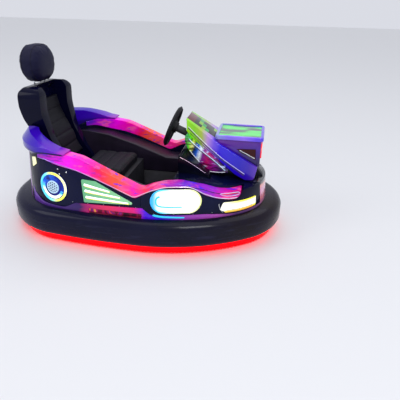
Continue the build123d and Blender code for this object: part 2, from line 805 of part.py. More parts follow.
# Back pad in the trough, below the belt slots
pad_low = 420.0
pad_top = 824.0
with BuildPart() as seat_pad:
    add(trough_slab(1.0, trough_half_width - pad_side_gap))
    add(trough_slab(1.0 + pad_thickness, trough_half_width), mode=Mode.SUBTRACT)
    with Locations((0, 0, (pad_low + pad_top) / 2)):
        Box(2 * beyond, 2 * beyond, pad_top - pad_low, mode=Mode.INTERSECT)

# Seat cushion on the seat box
cushion_front = seat_box_front - 14
cushion_rear = rear_axle_x + 16
with BuildPart() as seat_cushion:
    with BuildSketch(Plane.XY.offset(seat_low)):
        with Locations(((cushion_front + cushion_rear) / 2, 0)):
            RectangleRounded(cushion_front - cushion_rear, 2 * (seat_half_width - 20), 40)
    extrude(amount=cushion_height)
    chamfer(seat_cushion.edges().group_by(Axis.Z)[-1], cushion_chamfer)

# Headrest and its two posts
with BuildPart() as headrest:
    with BuildSketch(Plane.YZ.offset(headrest_x)):
        with Locations((0, (headrest_low + headrest_high) / 2)):
            Rectangle(2 * headrest_half_width, headrest_high - headrest_low)
        chamfer(vertices(), headrest_corner)
        chamfer(vertices(), headrest_corner_round)
    extrude(amount=headrest_depth / 2, both=True)
    chamfer(headrest.edges().filter_by(Plane.YZ), headrest_chamfer)
    with BuildSketch(Plane.XY.offset(headrest_low)):
        with Locations((post_x, -post_y), (post_x, post_y)):
            Circle(post_radius + seat_gap)
    extrude(amount=post_reach + seat_gap, mode=Mode.SUBTRACT)
with BuildPart() as headrest_posts:
    with BuildSketch(Plane.XY.offset(post_low)):
        with Locations((post_x, -post_y), (post_x, post_y)):
            Circle(post_radius)
    extrude(amount=headrest_low + post_reach - post_low)

# Steering column and wheel, on the leaning axis
lean = radians(wheel_lean)
steer_plane = Plane(
    origin=(wheel_centre_x, 0, wheel_centre_z), x_dir=(0, -1, 0), z_dir=(-cos(lean), 0, sin(lean))
)
console_back = from_drive([(-288, 560, 0), (-288, 622, 0), (-284, 686, 0), (0, 686, 0), (0, 560, 0)])
with BuildPart() as steering_column:
    with BuildSketch(steer_plane.offset(-hand_boss_height)):
        Circle(column_radius)
    extrude(amount=-column_length)
    with BuildSketch(steer_plane.offset(-hand_boss_height)):
        Circle(boss_pin_radius)
    extrude(amount=boss_pin_length)
    add(side_slab(console_back), mode=Mode.SUBTRACT)
with BuildPart() as steering_wheel:
    with BuildSketch(Plane(origin=steer_plane.origin, x_dir=steer_plane.x_dir, z_dir=steer_plane.y_dir)):
        with Locations((rim_radius, 0)):
            RegularPolygon(rim_tube, 4)
    revolve(axis=Axis(steer_plane.origin, steer_plane.z_dir))
    with BuildSketch(steer_plane.offset(0.5 - hand_boss_height)):
        Circle(hand_boss_radius)
    extrude(amount=hand_boss_height + spoke_thickness)
    with BuildSketch(steer_plane.offset(-spoke_thickness / 2)):
        Rectangle(2 * rim_radius, spoke_width)
        with Locations((0, -rim_radius / 2)):
            Rectangle(spoke_width, rim_radius)
    extrude(amount=spoke_thickness)
    with BuildSketch(steer_plane.offset(-hand_boss_height)):
        Circle(boss_pin_radius + shaft_gap)
    extrude(amount=boss_pin_length + 0.5, mode=Mode.SUBTRACT)

# Accelerator pedal on a foot plate, for the right foot
pedal_rows = [
    (footwell_front - 85, floor_top, 0),
    (footwell_front - 13, floor_top, 0),
    (footwell_front - 55, 228, 0),
    (footwell_front - 63, 228, 0),
    (footwell_front - 29, floor_top + 8, 0),
    (footwell_front - 85, floor_top + 8, 0),
]
pedal_half_width = 40.0
pedal_y = -120.0
pedal = Pos(0, pedal_y, 0) * side_slab(pedal_rows, pedal_half_width)

nodes = {
    "bumper_ring": bumper_ring.part,
    "light_strip": light_strip.part,
    "chassis_pan": chassis_pan.part,
    "drive_tower": drive_tower.part,
    "drive_fork": drive_fork.part,
    "drive_tyre": tyre_part(drive_x, 0),
    "drive_rim": rim_part(drive_x, 0),
    "rear_axle": rear_axle.part,
    "rear_tyre_right": tyre_part(rear_axle_x, -rear_wheel_y),
    "rear_tyre_left": tyre_part(rear_axle_x, rear_wheel_y),
    "rear_rim_right": rim_part(rear_axle_x, -rear_wheel_y),
    "rear_rim_left": rim_part(rear_axle_x, rear_wheel_y),
    "battery": battery.part,
    "floor_tub": floor_tub.part,
    "cockpit_liner": cockpit_liner.part,
    "seat_box": seat_box.part,
    "seat_cushion": seat_cushion.part,
    "seat_shell": seat_shell.part,
    "seat_pad": seat_pad.part,
    "headrest": headrest.part,
    "headrest_posts": headrest_posts.part,
    "side_sills": side_sills,
    "rear_quarters": rear_quarters,
    "front_fenders": front_fenders,
    "side_bands": side_bands,
    "tail_panel": tail_panel.part,
    "rear_cowl": rear_cowl.part,
    "nose_panel": nose_panel.part,
    "hood": hood.part,
    "console_plinth": console_plinth.part,
    "console_fins": console_fins,
    "console_tray": console_tray,
    "pod_body": pod_body.part,
    "pod_rim": pod_rim.part,
    "pod_top": pod_glass_top.part,
    "light_bars": light_bars.part,
    "steering_column": steering_column.part,
    "steering_wheel": steering_wheel.part,
    "pedal": pedal,
}
nodes.update(lamp_parts)
os.makedirs("parts", exist_ok=True)
for name, solid in nodes.items():
    solid.label = name
    export_step(solid, f"parts/{name}.step")
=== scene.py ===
import bmesh
import bpy
import json
from math import cos, pi, radians, sin
from mathutils import Matrix, Vector
from mathutils.bvhtree import BVHTree
from mathutils.geometry import convex_hull_2d


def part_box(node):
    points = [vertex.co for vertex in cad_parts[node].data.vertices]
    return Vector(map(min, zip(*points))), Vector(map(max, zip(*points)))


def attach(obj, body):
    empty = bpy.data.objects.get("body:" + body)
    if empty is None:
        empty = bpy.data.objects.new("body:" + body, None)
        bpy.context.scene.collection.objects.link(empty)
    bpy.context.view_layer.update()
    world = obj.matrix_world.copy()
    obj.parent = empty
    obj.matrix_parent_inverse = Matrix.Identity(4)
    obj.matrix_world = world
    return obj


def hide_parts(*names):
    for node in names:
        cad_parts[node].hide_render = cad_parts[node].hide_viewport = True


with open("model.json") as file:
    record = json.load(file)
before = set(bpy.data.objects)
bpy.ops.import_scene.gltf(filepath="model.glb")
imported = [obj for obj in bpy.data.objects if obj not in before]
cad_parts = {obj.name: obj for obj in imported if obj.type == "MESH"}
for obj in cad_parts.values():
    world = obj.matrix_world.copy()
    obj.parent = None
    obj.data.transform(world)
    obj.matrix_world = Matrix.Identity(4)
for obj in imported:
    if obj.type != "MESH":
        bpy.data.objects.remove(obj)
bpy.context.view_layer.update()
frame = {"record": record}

# View of the car
# Someone stands beside the arena, to the right of the car and a little ahead of its
# middle, and looks down at it through a short lens that hardly leans to a side.
eye = Vector((0.7658, -2.5697, 1.4232))
eye_turn = radians(98.981)
eye_drop = radians(26.064)
eye_roll = radians(1.368)
look = Vector((cos(eye_drop) * cos(eye_turn), cos(eye_drop) * sin(eye_turn), -sin(eye_drop)))
level_right = look.cross(Vector((0, 0, 1))).normalized()
level_up = level_right.cross(look)
right = level_right * cos(eye_roll) + level_up * sin(eye_roll)
up = level_up * cos(eye_roll) - level_right * sin(eye_roll)


def placed(name, data):
    """A new object in the scene, at its origin."""
    thing = bpy.data.objects.new(name, data)
    bpy.context.collection.objects.link(thing)
    return thing


camera = placed("camera", bpy.data.cameras.new("camera"))
camera.data.sensor_fit = "HORIZONTAL"
camera.data.sensor_width = 36
camera.data.lens = 36.44
camera.matrix_world = Matrix(
    (
        (right.x, up.x, -look.x, eye.x),
        (right.y, up.y, -look.y, eye.y),
        (right.z, up.z, -look.z, eye.z),
        (0, 0, 0, 1),
    )
)
bpy.context.scene.camera = camera


class Value:
    """A number that changes over a surface. Arithmetic on it adds Math nodes to its paint."""

    def __init__(self, paint, socket):
        self.paint = paint
        self.socket = socket

    def math(self, operation, *others):
        return self.paint.add("ShaderNodeMath", {"operation": operation}, self, *others)

    def __add__(self, other):
        return self.math("ADD", other)

    __radd__ = __add__

    def __sub__(self, other):
        return self.math("SUBTRACT", other)

    def __rsub__(self, other):
        return self.paint.add("ShaderNodeMath", {"operation": "SUBTRACT"}, other, self)

    def __mul__(self, other):
        return self.math("MULTIPLY", other)

    __rmul__ = __mul__

    def __truediv__(self, other):
        return self.math("DIVIDE", other)

    def above(self, edge, soft=0.0008):
        """0 below an edge and 1 above it, with a soft step between."""
        settings = {"interpolation_type": "SMOOTHSTEP"}
        return self.paint.add("ShaderNodeMapRange", settings, self, edge - soft, edge + soft, 0.0, 1.0)

    def between(self, low, high, soft=0.0008):
        """1 between two edges and 0 outside them."""
        return self.above(low, soft) * (1 - self.above(high, soft))


class Paint:
    """A material under construction, with the place on the piece as Values x, y and z."""

    def __init__(self, name, **constants):
        self.material = bpy.data.materials.new(name)
        self.material.use_nodes = True
        self.nodes = self.material.node_tree.nodes
        self.links = self.material.node_tree.links
        self.surface = self.nodes["Principled BSDF"]
        for key, amount in constants.items():
            socket = self.surface.inputs[key.replace("_", " ").title().replace("Ior", "IOR")]
            socket.default_value = tint(amount) if isinstance(amount, str) else amount
        self.place = self.add("ShaderNodeTexCoord", {}, out="Object")
        self.x = self.add("ShaderNodeSeparateXYZ", {}, self.place, out="X")
        self.y = self.add("ShaderNodeSeparateXYZ", {}, self.place, out="Y")
        self.z = self.add("ShaderNodeSeparateXYZ", {}, self.place, out="Z")

    def add(self, kind, settings, *values, out=0, **named):
        """Adds a node with its settings and what goes into it, and gives what comes out."""
        node = self.nodes.new(kind)
        for key, setting in settings.items():
            if key == "stops":
                while len(node.color_ramp.elements) < len(setting):
                    node.color_ramp.elements.new(1.0)
                for element, (at, colour) in zip(node.color_ramp.elements, setting):
                    element.position = at
                    element.color = tint(colour)
            else:
                setattr(node, key, setting)
        sockets = list(enumerate(values)) + [
            (key.replace("_", " ").title(), v) for key, v in named.items()
        ]
        for key, value in sockets:
            if isinstance(value, Value):
                self.links.new(value.socket, node.inputs[key])
            elif value is not None:
                node.inputs[key].default_value = value
        return Value(self, node.outputs[out])

    def mix(self, factor, first, second):
        """A colour between two others."""
        settings = {"data_type": "RGBA"}
        ends = [tint(c) if isinstance(c, str) else c for c in (first, second)]
        return self.add("ShaderNodeMix", settings, factor, None, None, None, None, None, *ends, out=2)

    def ramp(self, value, low, high, stops):
        """A colour that follows a value from a low to a high one, through stops of place and code."""
        part = self.add("ShaderNodeMapRange", {}, value, low, high, 0.0, 1.0)
        return self.add("ShaderNodeValToRGB", {"stops": stops}, part)

    def noise(self, scale, detail=3.0, stretch=(1, 1, 1)):
        """Soft clouds, finer along an axis where the stretch is more than 1."""
        where = self.add("ShaderNodeMapping", {}, self.place, None, None, stretch)
        return self.add("ShaderNodeTexNoise", {}, where, scale=scale, detail=detail)

    def grain(self, scale, edge=0.06):
        """Grain like leather: 1 on its cells and 0 in the lines between them."""
        settings = {"feature": "DISTANCE_TO_EDGE"}
        return self.add("ShaderNodeTexVoronoi", settings, self.place, scale=scale).above(edge, edge)

    def bump(self, height, distance, strength=0.5):
        """Fine relief on the surface."""
        relief = self.add("ShaderNodeBump", {}, strength=strength, distance=distance, height=height)
        self.links.new(relief.socket, self.surface.inputs["Normal"])

    def feed(self, **sockets):
        """Links what changes over the surface to the shader."""
        for key, value in sockets.items():
            self.links.new(value.socket, self.surface.inputs[key.replace("_", " ").title()])

    def glow(self, colour, **sockets):
        """Links a colour both as the paint and as the light that it gives. On a part that is no lamp,
        this glow is painted light.
        """
        self.feed(base_color=colour, emission_color=colour, **sockets)


def tint(code):
    """A colour as written on a screen, as the light it stands for."""
    parts = [int(code[i : i + 2], 16) / 255 for i in (0, 2, 4)]
    light = [c / 12.92 if c < 0.04045 else ((c + 0.055) / 1.055) ** 2.4 for c in parts]
    return (*light, 1.0)


# Studio
# A pale floor under a pale surround, with three large soft lamps. The camera, the gloss
# and clear parts see a brighter surround than the one that lights the car.
bpy.context.scene.view_settings.view_transform = "Standard"
floor_half = 30.0
square = ((-1, -1), (1, -1), (1, 1), (-1, 1))
floor_mesh = bpy.data.meshes.new("floor")
floor_mesh.from_pydata([(x * floor_half, y * floor_half, 0) for x, y in square], [], [(0, 1, 2, 3)])
floor = placed("floor", floor_mesh)
floor_paint = Paint(
    "arena floor", roughness=0.6, base_color=(0.74, 0.75, 0.78, 1), specular_ior_level=0.2
)
floor_mesh.materials.append(floor_paint.material)
world = bpy.data.worlds.new("surround")
world.use_nodes = True
sky = world.node_tree
surround = sky.nodes["Background"]
surround.inputs["Color"].default_value = (0.9, 0.92, 1.0, 1)
ray = sky.nodes.new("ShaderNodeLightPath")
seen = ray.outputs["Is Camera Ray"]
for kind in ("Is Glossy Ray", "Is Transmission Ray"):
    either = sky.nodes.new("ShaderNodeMath")
    either.operation = "MAXIMUM"
    sky.links.new(seen, either.inputs[0])
    sky.links.new(ray.outputs[kind], either.inputs[1])
    seen = either.outputs[0]
bright = sky.nodes.new("ShaderNodeMapRange")
bright.inputs["To Min"].default_value = 0.42
bright.inputs["To Max"].default_value = 0.78
sky.links.new(seen, bright.inputs["Value"])
sky.links.new(bright.outputs[0], surround.inputs["Strength"])
bpy.context.scene.world = world
for name, place, size, power in (
    ("key lamp", (4.0, -7.0, 8.0), 4.0, 480),
    ("fill lamp", (-8.0, -5.0, 7.0), 5.0, 200),
):
    lamp = placed(name, bpy.data.lights.new(name, "AREA"))
    lamp.data.size = size
    lamp.data.energy = power
    lamp.location = place
    lamp.rotation_euler = (Vector((0, 0, 0.4)) - Vector(place)).to_track_quat("-Z", "Y").to_euler()
ceiling = placed("ceiling light", bpy.data.lights.new("ceiling light", "SUN"))
ceiling.data.energy = 1.25
ceiling.data.angle = radians(70)
ceiling.rotation_euler = (radians(-14), radians(6), 0)

# Bumper ring
# One thick moulded rubber tube round the whole car, semi-gloss black, scuffed along
# its widest line where cars meet, with a fine parting line left by the mould. Its black
# leans blue at the rear and brown at the front: painted reflections of coloured lights.
home = {node: body for body, nodes in frame["record"]["behaviour"]["bodies"].items() for node in nodes}


def settle(piece, paint, node, replaces=False):
    """Gives a piece its paint and its place on the body that a CAD node rides on."""
    piece.data.materials.clear()
    piece.data.materials.append(paint.material)
    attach(piece, home[node])
    if replaces:
        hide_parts(node)
    return piece


def flat_mesh(piece):
    """The piece with its modifiers worked out, as a plain mesh."""
    done = bpy.data.meshes.new_from_object(piece.evaluated_get(bpy.context.evaluated_depsgraph_get()))
    piece.modifiers.clear()
    piece.data = done


def finished(node, paint, bevel=0.0015, segments=2, smooth=38, joined=True):
    """A finished copy of a CAD solid: its faces joined, its sharp edges broken, its curves smooth."""
    work = bmesh.new()
    work.from_mesh(bpy.data.objects[node].data)
    bmesh.ops.remove_doubles(work, verts=work.verts, dist=0.00002)
    if joined:
        bmesh.ops.dissolve_limit(work, angle_limit=radians(0.5), verts=work.verts, edges=work.edges)
    mesh = bpy.data.meshes.new(node + "_skin")
    work.to_mesh(mesh)
    work.free()
    piece = placed(node + "_skin", mesh)
    if bevel:
        edge = piece.modifiers.new("edge", "BEVEL")
        edge.width = bevel
        edge.segments = segments
        edge.limit_method = "ANGLE"
        edge.angle_limit = radians(smooth)
        flat_mesh(piece)
    piece.data.shade_smooth()
    piece.data.set_sharp_from_angle(angle=radians(smooth))
    return settle(piece, paint, node, replaces=True)


rubber = Paint("ring rubber", specular_ior_level=0.08, coat_roughness=0.1, coat_weight=0.2)
cloudy = rubber.noise(5.0, 4.0)
scuffs = rubber.noise(26.0, 5.0, (0.35, 0.35, 2.4)).above(0.62, 0.07) * rubber.z.between(0.10, 0.20, 0.03)
# Painted reflection: the black turns blue towards the rear and brown towards the front.
rubber_painted_reflection = rubber.ramp(
    rubber.x, -0.9, 0.9, [(0.0, "08092a"), (0.4, "080926"), (0.75, "0c0a1e"), (1.0, "1a100d")]
)
rubber_base = rubber.mix(cloudy.above(0.5, 0.18) * 0.5, rubber_painted_reflection, "121130")
parting_line = rubber.z.between(0.1482, 0.1498, 0.0006)
rubber.bump(rubber.noise(420.0, 2.0) * 0.6 + scuffs * 0.8 - parting_line * 3, 0.0006, 0.5)
rubber.feed(
    base_color=rubber.mix(scuffs * 0.35, rubber_base, "2a2a48"),
    roughness=0.2 + cloudy * 0.14 + scuffs * 0.25,
)
finished("bumper_ring", rubber, bevel=0.004, segments=2, smooth=40)

# Light strip
# A red acrylic skirt under the ring, lit from inside by a row of small lamps. The beads
# are the lamps' lenses, set along the skirt at even steps.
strip_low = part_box("light_strip")[0]
strip_mesh = bpy.data.objects["light_strip"].data
low_points = [v.co.copy() for v in strip_mesh.vertices if v.co.z < strip_low.z + 0.0001]
strip_path = [low_points[i] for i in convex_hull_2d([p.xy for p in low_points])]
red = Paint("strip red", roughness=0.3, emission_strength=3.0, specular_ior_level=0.1)
red_glow = red.noise(60.0, 1.0, (1, 1, 0.2))
red_height = red.z.above(0.035, 0.02)
red.feed(
    base_color=red.mix(red_glow.above(0.5, 0.1), "700004", "580006"),
    emission_color=red.mix(red_height, "ff0004", "e00008"),
)
finished("light_strip", red, bevel=0.002)


def repeated(name, path, closed, step, part, paint, node):
    """Geometry Nodes: a small part set along a path at even steps, then made one plain mesh."""
    line = bpy.data.curves.new(name + "_path", "CURVE")
    line.dimensions = "3D"
    spline = line.splines.new("POLY")
    spline.points.add(len(path) - 1)
    for vertex, point in zip(spline.points, path):
        vertex.co = (*point, 1)
    spline.use_cyclic_u = closed
    piece = placed(name, bpy.data.meshes.new(name))
    guide = placed(name + "_guide", line)
    tree = bpy.data.node_groups.new(name, "GeometryNodeTree")
    tree.interface.new_socket("Geometry", in_out="INPUT", socket_type="NodeSocketGeometry")
    sockets = {}
    for label, kind in (
        ("Path", "Object"), ("Part", "Object"), ("Step", "Float"), ("Finish", "Material")
    ):
        asked = tree.interface.new_socket(label, in_out="INPUT", socket_type="NodeSocket" + kind)
        sockets[label] = asked.identifier
    tree.interface.new_socket("Geometry", in_out="OUTPUT", socket_type="NodeSocketGeometry")
    start = tree.nodes.new("NodeGroupInput")
    end = tree.nodes.new("NodeGroupOutput")
    route = tree.nodes.new("GeometryNodeObjectInfo")
    shape = tree.nodes.new("GeometryNodeObjectInfo")
    places = tree.nodes.new("GeometryNodeCurveToPoints")
    places.mode = "LENGTH"
    copies = tree.nodes.new("GeometryNodeInstanceOnPoints")
    real = tree.nodes.new("GeometryNodeRealizeInstances")
    finish = tree.nodes.new("GeometryNodeSetMaterial")
    for source, target in (
        (start.outputs["Path"], route.inputs["Object"]),
        (start.outputs["Part"], shape.inputs["Object"]),
        (route.outputs["Geometry"], places.inputs["Curve"]),
        (start.outputs["Step"], places.inputs["Length"]),
        (places.outputs["Points"], copies.inputs["Points"]),
        (shape.outputs["Geometry"], copies.inputs["Instance"]),
        (copies.outputs["Instances"], real.inputs["Geometry"]),
        (real.outputs["Geometry"], finish.inputs["Geometry"]),
        (start.outputs["Finish"], finish.inputs["Material"]),
        (finish.outputs["Geometry"], end.inputs["Geometry"]),
    ):
        tree.links.new(source, target)
    rule = piece.modifiers.new("repeat", "NODES")
    rule.node_group = tree
    for label, value in (("Path", guide), ("Part", part), ("Step", step), ("Finish", paint.material)):
        rule[sockets[label]] = value
    flat_mesh(piece)
    bpy.data.objects.remove(guide)
    bpy.data.objects.remove(part)
    return settle(piece, paint, node)


def circle(radius, count, start=0.0):
    """Places evenly round a circle, as pairs."""
    turns = [2 * pi * (i + start) / count for i in range(count)]
    return [(radius * cos(turn), radius * sin(turn)) for turn in turns]


def join_rings(work, rings):
    """Faces between each two neighbouring rings of corners. A ring may be one corner, a tip."""
    for low, high in zip(rings, rings[1:]):
        for i in range(max(len(low), len(high))):
            j = i + 1
            corners = [low[i % len(low)], low[j % len(low)], high[j % len(high)], high[i % len(high)]]
            work.faces.new([c for n, c in enumerate(corners) if c not in corners[:n]])


def turned_part(name, rows, sides):
    """A part turned about Z, from rows of radius and height. One that ends in a tip has a closed foot."""
    work = bmesh.new()
    rings = []
    for radius, height in rows:
        ring = circle(radius, sides if radius else 1)
        rings.append([work.verts.new((x, y, height)) for x, y in ring])
    join_rings(work, rings)
    if rows[-1][0] == 0:
        work.faces.new(rings[0])
    bmesh.ops.remove_doubles(work, verts=work.verts, dist=0.000001)
    bmesh.ops.recalc_face_normals(work, faces=work.faces)
    return shaped(name, work)


def shaped(name, work, smooth=38):
    """A finished bmesh as a smooth-shaded piece with its edges kept crisp."""
    mesh = bpy.data.meshes.new(name)
    work.to_mesh(mesh)
    work.free()
    mesh.shade_smooth()
    mesh.set_sharp_from_angle(angle=radians(smooth))
    return placed(name, mesh)


bead_step = 0.024
bead_inset_x, bead_inset_y = 0.9925, 0.988
bead = turned_part("bead", [(0.0062, 0.0), (0.0055, -0.0022), (0.003, -0.0036), (0, -0.004)], 8)
bead_paint = Paint(
    "strip bead", roughness=0.2, base_color="d00010", emission_color="ff0a10", emission_strength=2.0
)
bead_line = [Vector((p.x * bead_inset_x, p.y * bead_inset_y, p.z)) for p in strip_path]
repeated("strip_beads", bead_line, True, bead_step, bead, bead_paint, "light_strip")

# Chassis plate, drive tower, fork and rear axle
# Cut and welded steel in satin black powder coat, with a fine orange-peel skin. The fork
# and its pins are bare machined steel. Bolt heads hold the tower to the plate.
coat = Paint("powder coat", specular_ior_level=0.5)
coat_wear = coat.noise(14.0, 5.0).above(0.66, 0.06)
coat.bump(coat.noise(900.0, 2.0), 0.0003, 0.5)
coat.feed(
    base_color=coat.mix(coat_wear * 0.35, "24252a", "4a4744"),
    roughness=0.42 + coat.noise(30.0) * 0.2,
)
steel = Paint("machined steel", metallic=1.0)
steel_lines = steel.noise(60.0, 4.0, (1, 1, 14))
steel.bump(steel_lines, 0.0002, 0.3)
steel.feed(base_color=steel.mix(steel_lines, "8d9096", "b4b7bb"), roughness=0.26 + steel_lines * 0.2)
for node in ("chassis_pan", "drive_tower", "rear_axle"):
    finished(node, coat, bevel=0.0015)
finished("drive_fork", steel, bevel=0.0015)


def bolt_head(name, radius, height):
    """A hexagon bolt head on its washer."""
    rows = [(1.5, 0), (1.5, 0.25), (1.05, 0.25), (1, 0.9), (0.86, 1), (0, 1)]
    return turned_part(name, [(radius * across, height * up) for across, up in rows], 6)


tower_low, tower_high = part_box("drive_tower")
tower_x = (tower_low.x + tower_high.x) / 2
bolt_radius, bolt_step = 0.108, 0.0848
bolt_ring = [Vector((tower_x + x, y, tower_high.z)) for x, y in circle(bolt_radius, 48)]
repeated("tower_bolts", bolt_ring, True, bolt_step, bolt_head("bolt", 0.005, 0.005), steel, "drive_tower")

# Wheels
# Solid black rubber tyres pressed on to cast alloy centres. The tread is plain with
# bevelled shoulders, and each centre has a raised hub, a lip and a ring of nuts.
tyre_paint = Paint("solid tyre", specular_ior_level=0.35)
tread_dust = tyre_paint.noise(18.0, 5.0)
tyre_paint.bump(tyre_paint.noise(300.0, 3.0), 0.0005, 0.5)
tyre_paint.feed(
    base_color=tyre_paint.mix(tread_dust.above(0.55, 0.12), "1d1d1f", "38373a"),
    roughness=0.62 + tread_dust * 0.25,
)
alloy = Paint("cast alloy", metallic=1.0)
alloy_grain = alloy.noise(220.0, 3.0)
alloy.bump(alloy_grain, 0.0004, 0.35)
alloy.feed(base_color=alloy.mix(alloy_grain, "9a9ca1", "b9bbc0"), roughness=0.3 + alloy_grain * 0.18)
wheel_radius = 0.1
nut_ring, nut_seat = 0.049, 0.0175
half_rows = [
    (0.074, 0.0246), (0.0715, 0.0246), (0.066, 0.0195), (0.032, 0.0165),
    (0.0285, 0.0185), (0.0245, 0.0325), (0.0225, 0.0328), (0.0122, 0.0328),
]
rim_rows = half_rows + [(radius, -height) for radius, height in half_rows[::-1]] + half_rows[:1]


def along_y(piece, x, y, side=1):
    """Turns a part made about Z to stand about an axle along Y, at its place."""
    turn = Matrix.Rotation(radians(90 * side), 4, "X")
    piece.data.transform(Matrix.Translation((x, y, wheel_radius)) @ turn)
    return piece


for wheel in ("drive_{}", "rear_{}_right", "rear_{}_left"):
    rim = wheel.format("rim")
    finished(wheel.format("tyre"), tyre_paint, bevel=0.003, segments=3, smooth=40)
    low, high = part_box(rim)
    rim_x, rim_y = (low.x + high.x) / 2, (low.y + high.y) / 2
    settle(along_y(turned_part(rim + "_cast", rim_rows, 64), rim_x, rim_y), alloy, rim, replaces=True)
    for side, face in ((-1, "out"), (1, "in")):
        for i, (x, y) in enumerate(circle(nut_ring, 5)):
            nut = bolt_head(rim + "_nut_" + face + str(i), 0.0042, 0.005)
            nut.data.transform(Matrix.Translation((x, y, nut_seat)))
            settle(along_y(nut, rim_x, rim_y, side), steel, rim)

# Battery, floor tub, cockpit liner and seat box
# The battery is a ribbed plastic case. The tub and liner are black moulded plastic with
# a leather-like grain, and raised ribs on the floor keep shoes from slipping.
case = Paint("battery case")
case_ribs = (case.x * 130.0).math("SINE")
case.bump(case_ribs, 0.001, 0.6)
case.feed(
    base_color=case.mix(case.noise(30.0), "26272b", "34353a"), roughness=0.5 + case.noise(80.0) * 0.2
)
finished("battery", case, bevel=0.006, segments=3)
tub = Paint("tub plastic", specular_ior_level=0.25)
tub_dust = tub.noise(7.0, 4.0)
tub.bump(tub.grain(420.0), 0.0005, 0.5)
tub.feed(
    base_color=tub.mix(tub_dust.above(0.55, 0.15), "17171d", "23222a"), roughness=0.45 + tub_dust * 0.2
)
finished("floor_tub", tub, bevel=0.003, joined=False)
finished("seat_box", tub, bevel=0.004)
liner = Paint("liner plastic", coat_roughness=0.2, coat_weight=0.15, specular_ior_level=0.2)
liner_cloud = liner.noise(4.0, 3.0)
liner.bump(liner.grain(380.0), 0.0004, 0.4)
liner.feed(
    base_color=liner.mix(liner_cloud.above(0.5, 0.2), "17131f", "241b30"),
    roughness=0.34 + liner_cloud * 0.16,
)
finished("cockpit_liner", liner, bevel=0.006, segments=3)
floor_top = 0.1323
rib_step, rib_height, rib_slope = 0.04, 0.004, 0.002
rib_half_width, rib_half_length = 0.006, 0.2
rib_line = [Vector((x, 0, floor_top)) for x in (-0.10, 0.30)]
rib_corners = []
for inset, height in ((0, 0), (rib_slope, rib_height)):
    half_x, half_y = rib_half_length - inset, rib_half_width - inset
    rib_corners += [(x * half_x, y * half_y, height) for x, y in square]
rib_faces = [(0, 3, 2, 1), (4, 5, 6, 7), (0, 1, 5, 4), (1, 2, 6, 5), (2, 3, 7, 6), (3, 0, 4, 7)]
rib_mesh = bpy.data.meshes.new("rib")
rib_mesh.from_pydata(rib_corners, [], rib_faces)
rib_mesh.transform(Matrix.Rotation(radians(90), 4, "Z"))
repeated("floor_ribs", rib_line, False, rib_step, placed("rib", rib_mesh), tub, "floor_tub")

# Seat shell, posts and padding
# The bucket is one gloss-black moulding with a thick rolled edge and two belt slots.
# Cushion, back pad and headrest are foam under black and navy cover. The first two are
# sewn down in channels, and the headrest has a welt round each edge.
gloss = Paint("seat gloss", coat_weight=0.15, coat_roughness=0.05, specular_ior_level=0.05)
gloss_cloud = gloss.noise(6.0, 3.0)
gloss_scratch = gloss.noise(160.0, 5.0, (0.1, 1, 1)).above(0.68, 0.05)
gloss.bump(gloss.noise(45.0, 2.0) + gloss_scratch * 0.1, 0.0004, 0.25)
gloss.feed(
    base_color=gloss.mix(gloss_cloud, "030418", "07082a"),
    roughness=0.16 + gloss_cloud * 0.1 + gloss_scratch * 0.2,
)
finished("seat_shell", gloss, bevel=0.012, segments=5, smooth=35)
chrome = Paint("post chrome", metallic=1.0)
chrome.feed(
    base_color=chrome.mix(chrome.noise(40.0), "c9cbd0", "e2e4e8"),
    roughness=0.08 + chrome.noise(90.0) * 0.1,
)
finished("headrest_posts", chrome, bevel=0.001, smooth=50)


def cover(name, first, second, scale):
    """Grained cover with creases like leather, rougher in the lines of its grain, and a little darker in
    the dips of its folds as painted shade.
    """
    paint = Paint(name, specular_ior_level=0.18)
    skin = paint.grain(scale, 0.05)
    folds = paint.noise(9.0, 5.0)
    paint.bump(skin * 0.5 + folds * 0.8, 0.0009, 0.45)
    # Painted shade: the cover is darker where its folds dip and lighter where they rise.
    shade = paint.mix(folds, first, second)
    paint.feed(base_color=shade, roughness=0.42 + folds * 0.2 + (1 - skin) * 0.1)
    return paint


foam_cell, foam_pressure, cloth_steps = 0.006, 4.0, 20
channel_half = 0.006


def stuffed(node, paint, shrink, cap, channels=(), along=0, depth=0.004):
    """Foam under a cover: remeshed, blown up as cloth, then sewn down along its channels."""
    work = bmesh.new()
    work.from_mesh(bpy.data.objects[node].data)
    bmesh.ops.remove_doubles(work, verts=work.verts, dist=0.00002)
    piece = shaped(node + "_foam", work)
    remesh = piece.modifiers.new("even", "REMESH")
    remesh.mode = "VOXEL"
    remesh.voxel_size = foam_cell
    flat_mesh(piece)
    start = [vertex.co - vertex.normal * shrink for vertex in piece.data.vertices]
    for vertex, place in zip(piece.data.vertices, start):
        vertex.co = place
    cloth = piece.modifiers.new("swell", "CLOTH")
    cloth.settings.quality = 5
    cloth.settings.use_pressure = True
    cloth.settings.uniform_pressure_force = foam_pressure
    cloth.settings.effector_weights.gravity = 0.0
    for step in range(1, cloth_steps + 1):
        bpy.context.scene.frame_set(step)
    swollen = piece.evaluated_get(bpy.context.evaluated_depsgraph_get()).to_mesh()
    ends = [vertex.co.copy() for vertex in swollen.vertices]
    piece.modifiers.clear()
    bpy.context.scene.frame_set(1)
    drift = sum((e - s for e, s in zip(ends, start)), Vector()) / len(start)
    for vertex, place, end in zip(piece.data.vertices, start, ends):
        move = end - place - drift
        if move.length > cap:
            move *= cap / move.length
        vertex.co = place + move
    normals = [vertex.normal.copy() for vertex in piece.data.vertices]
    for vertex, normal in zip(piece.data.vertices, normals):
        dip = sum(1 / (1 + ((vertex.co[along] - at) / channel_half) ** 2) for at in channels)
        vertex.co -= normal * dip * depth
    finer = piece.modifiers.new("finer", "SUBSURF")
    finer.levels = 1
    finer.render_levels = 1
    flat_mesh(piece)
    piece.data.shade_smooth()
    return settle(piece, paint, node, replaces=True)


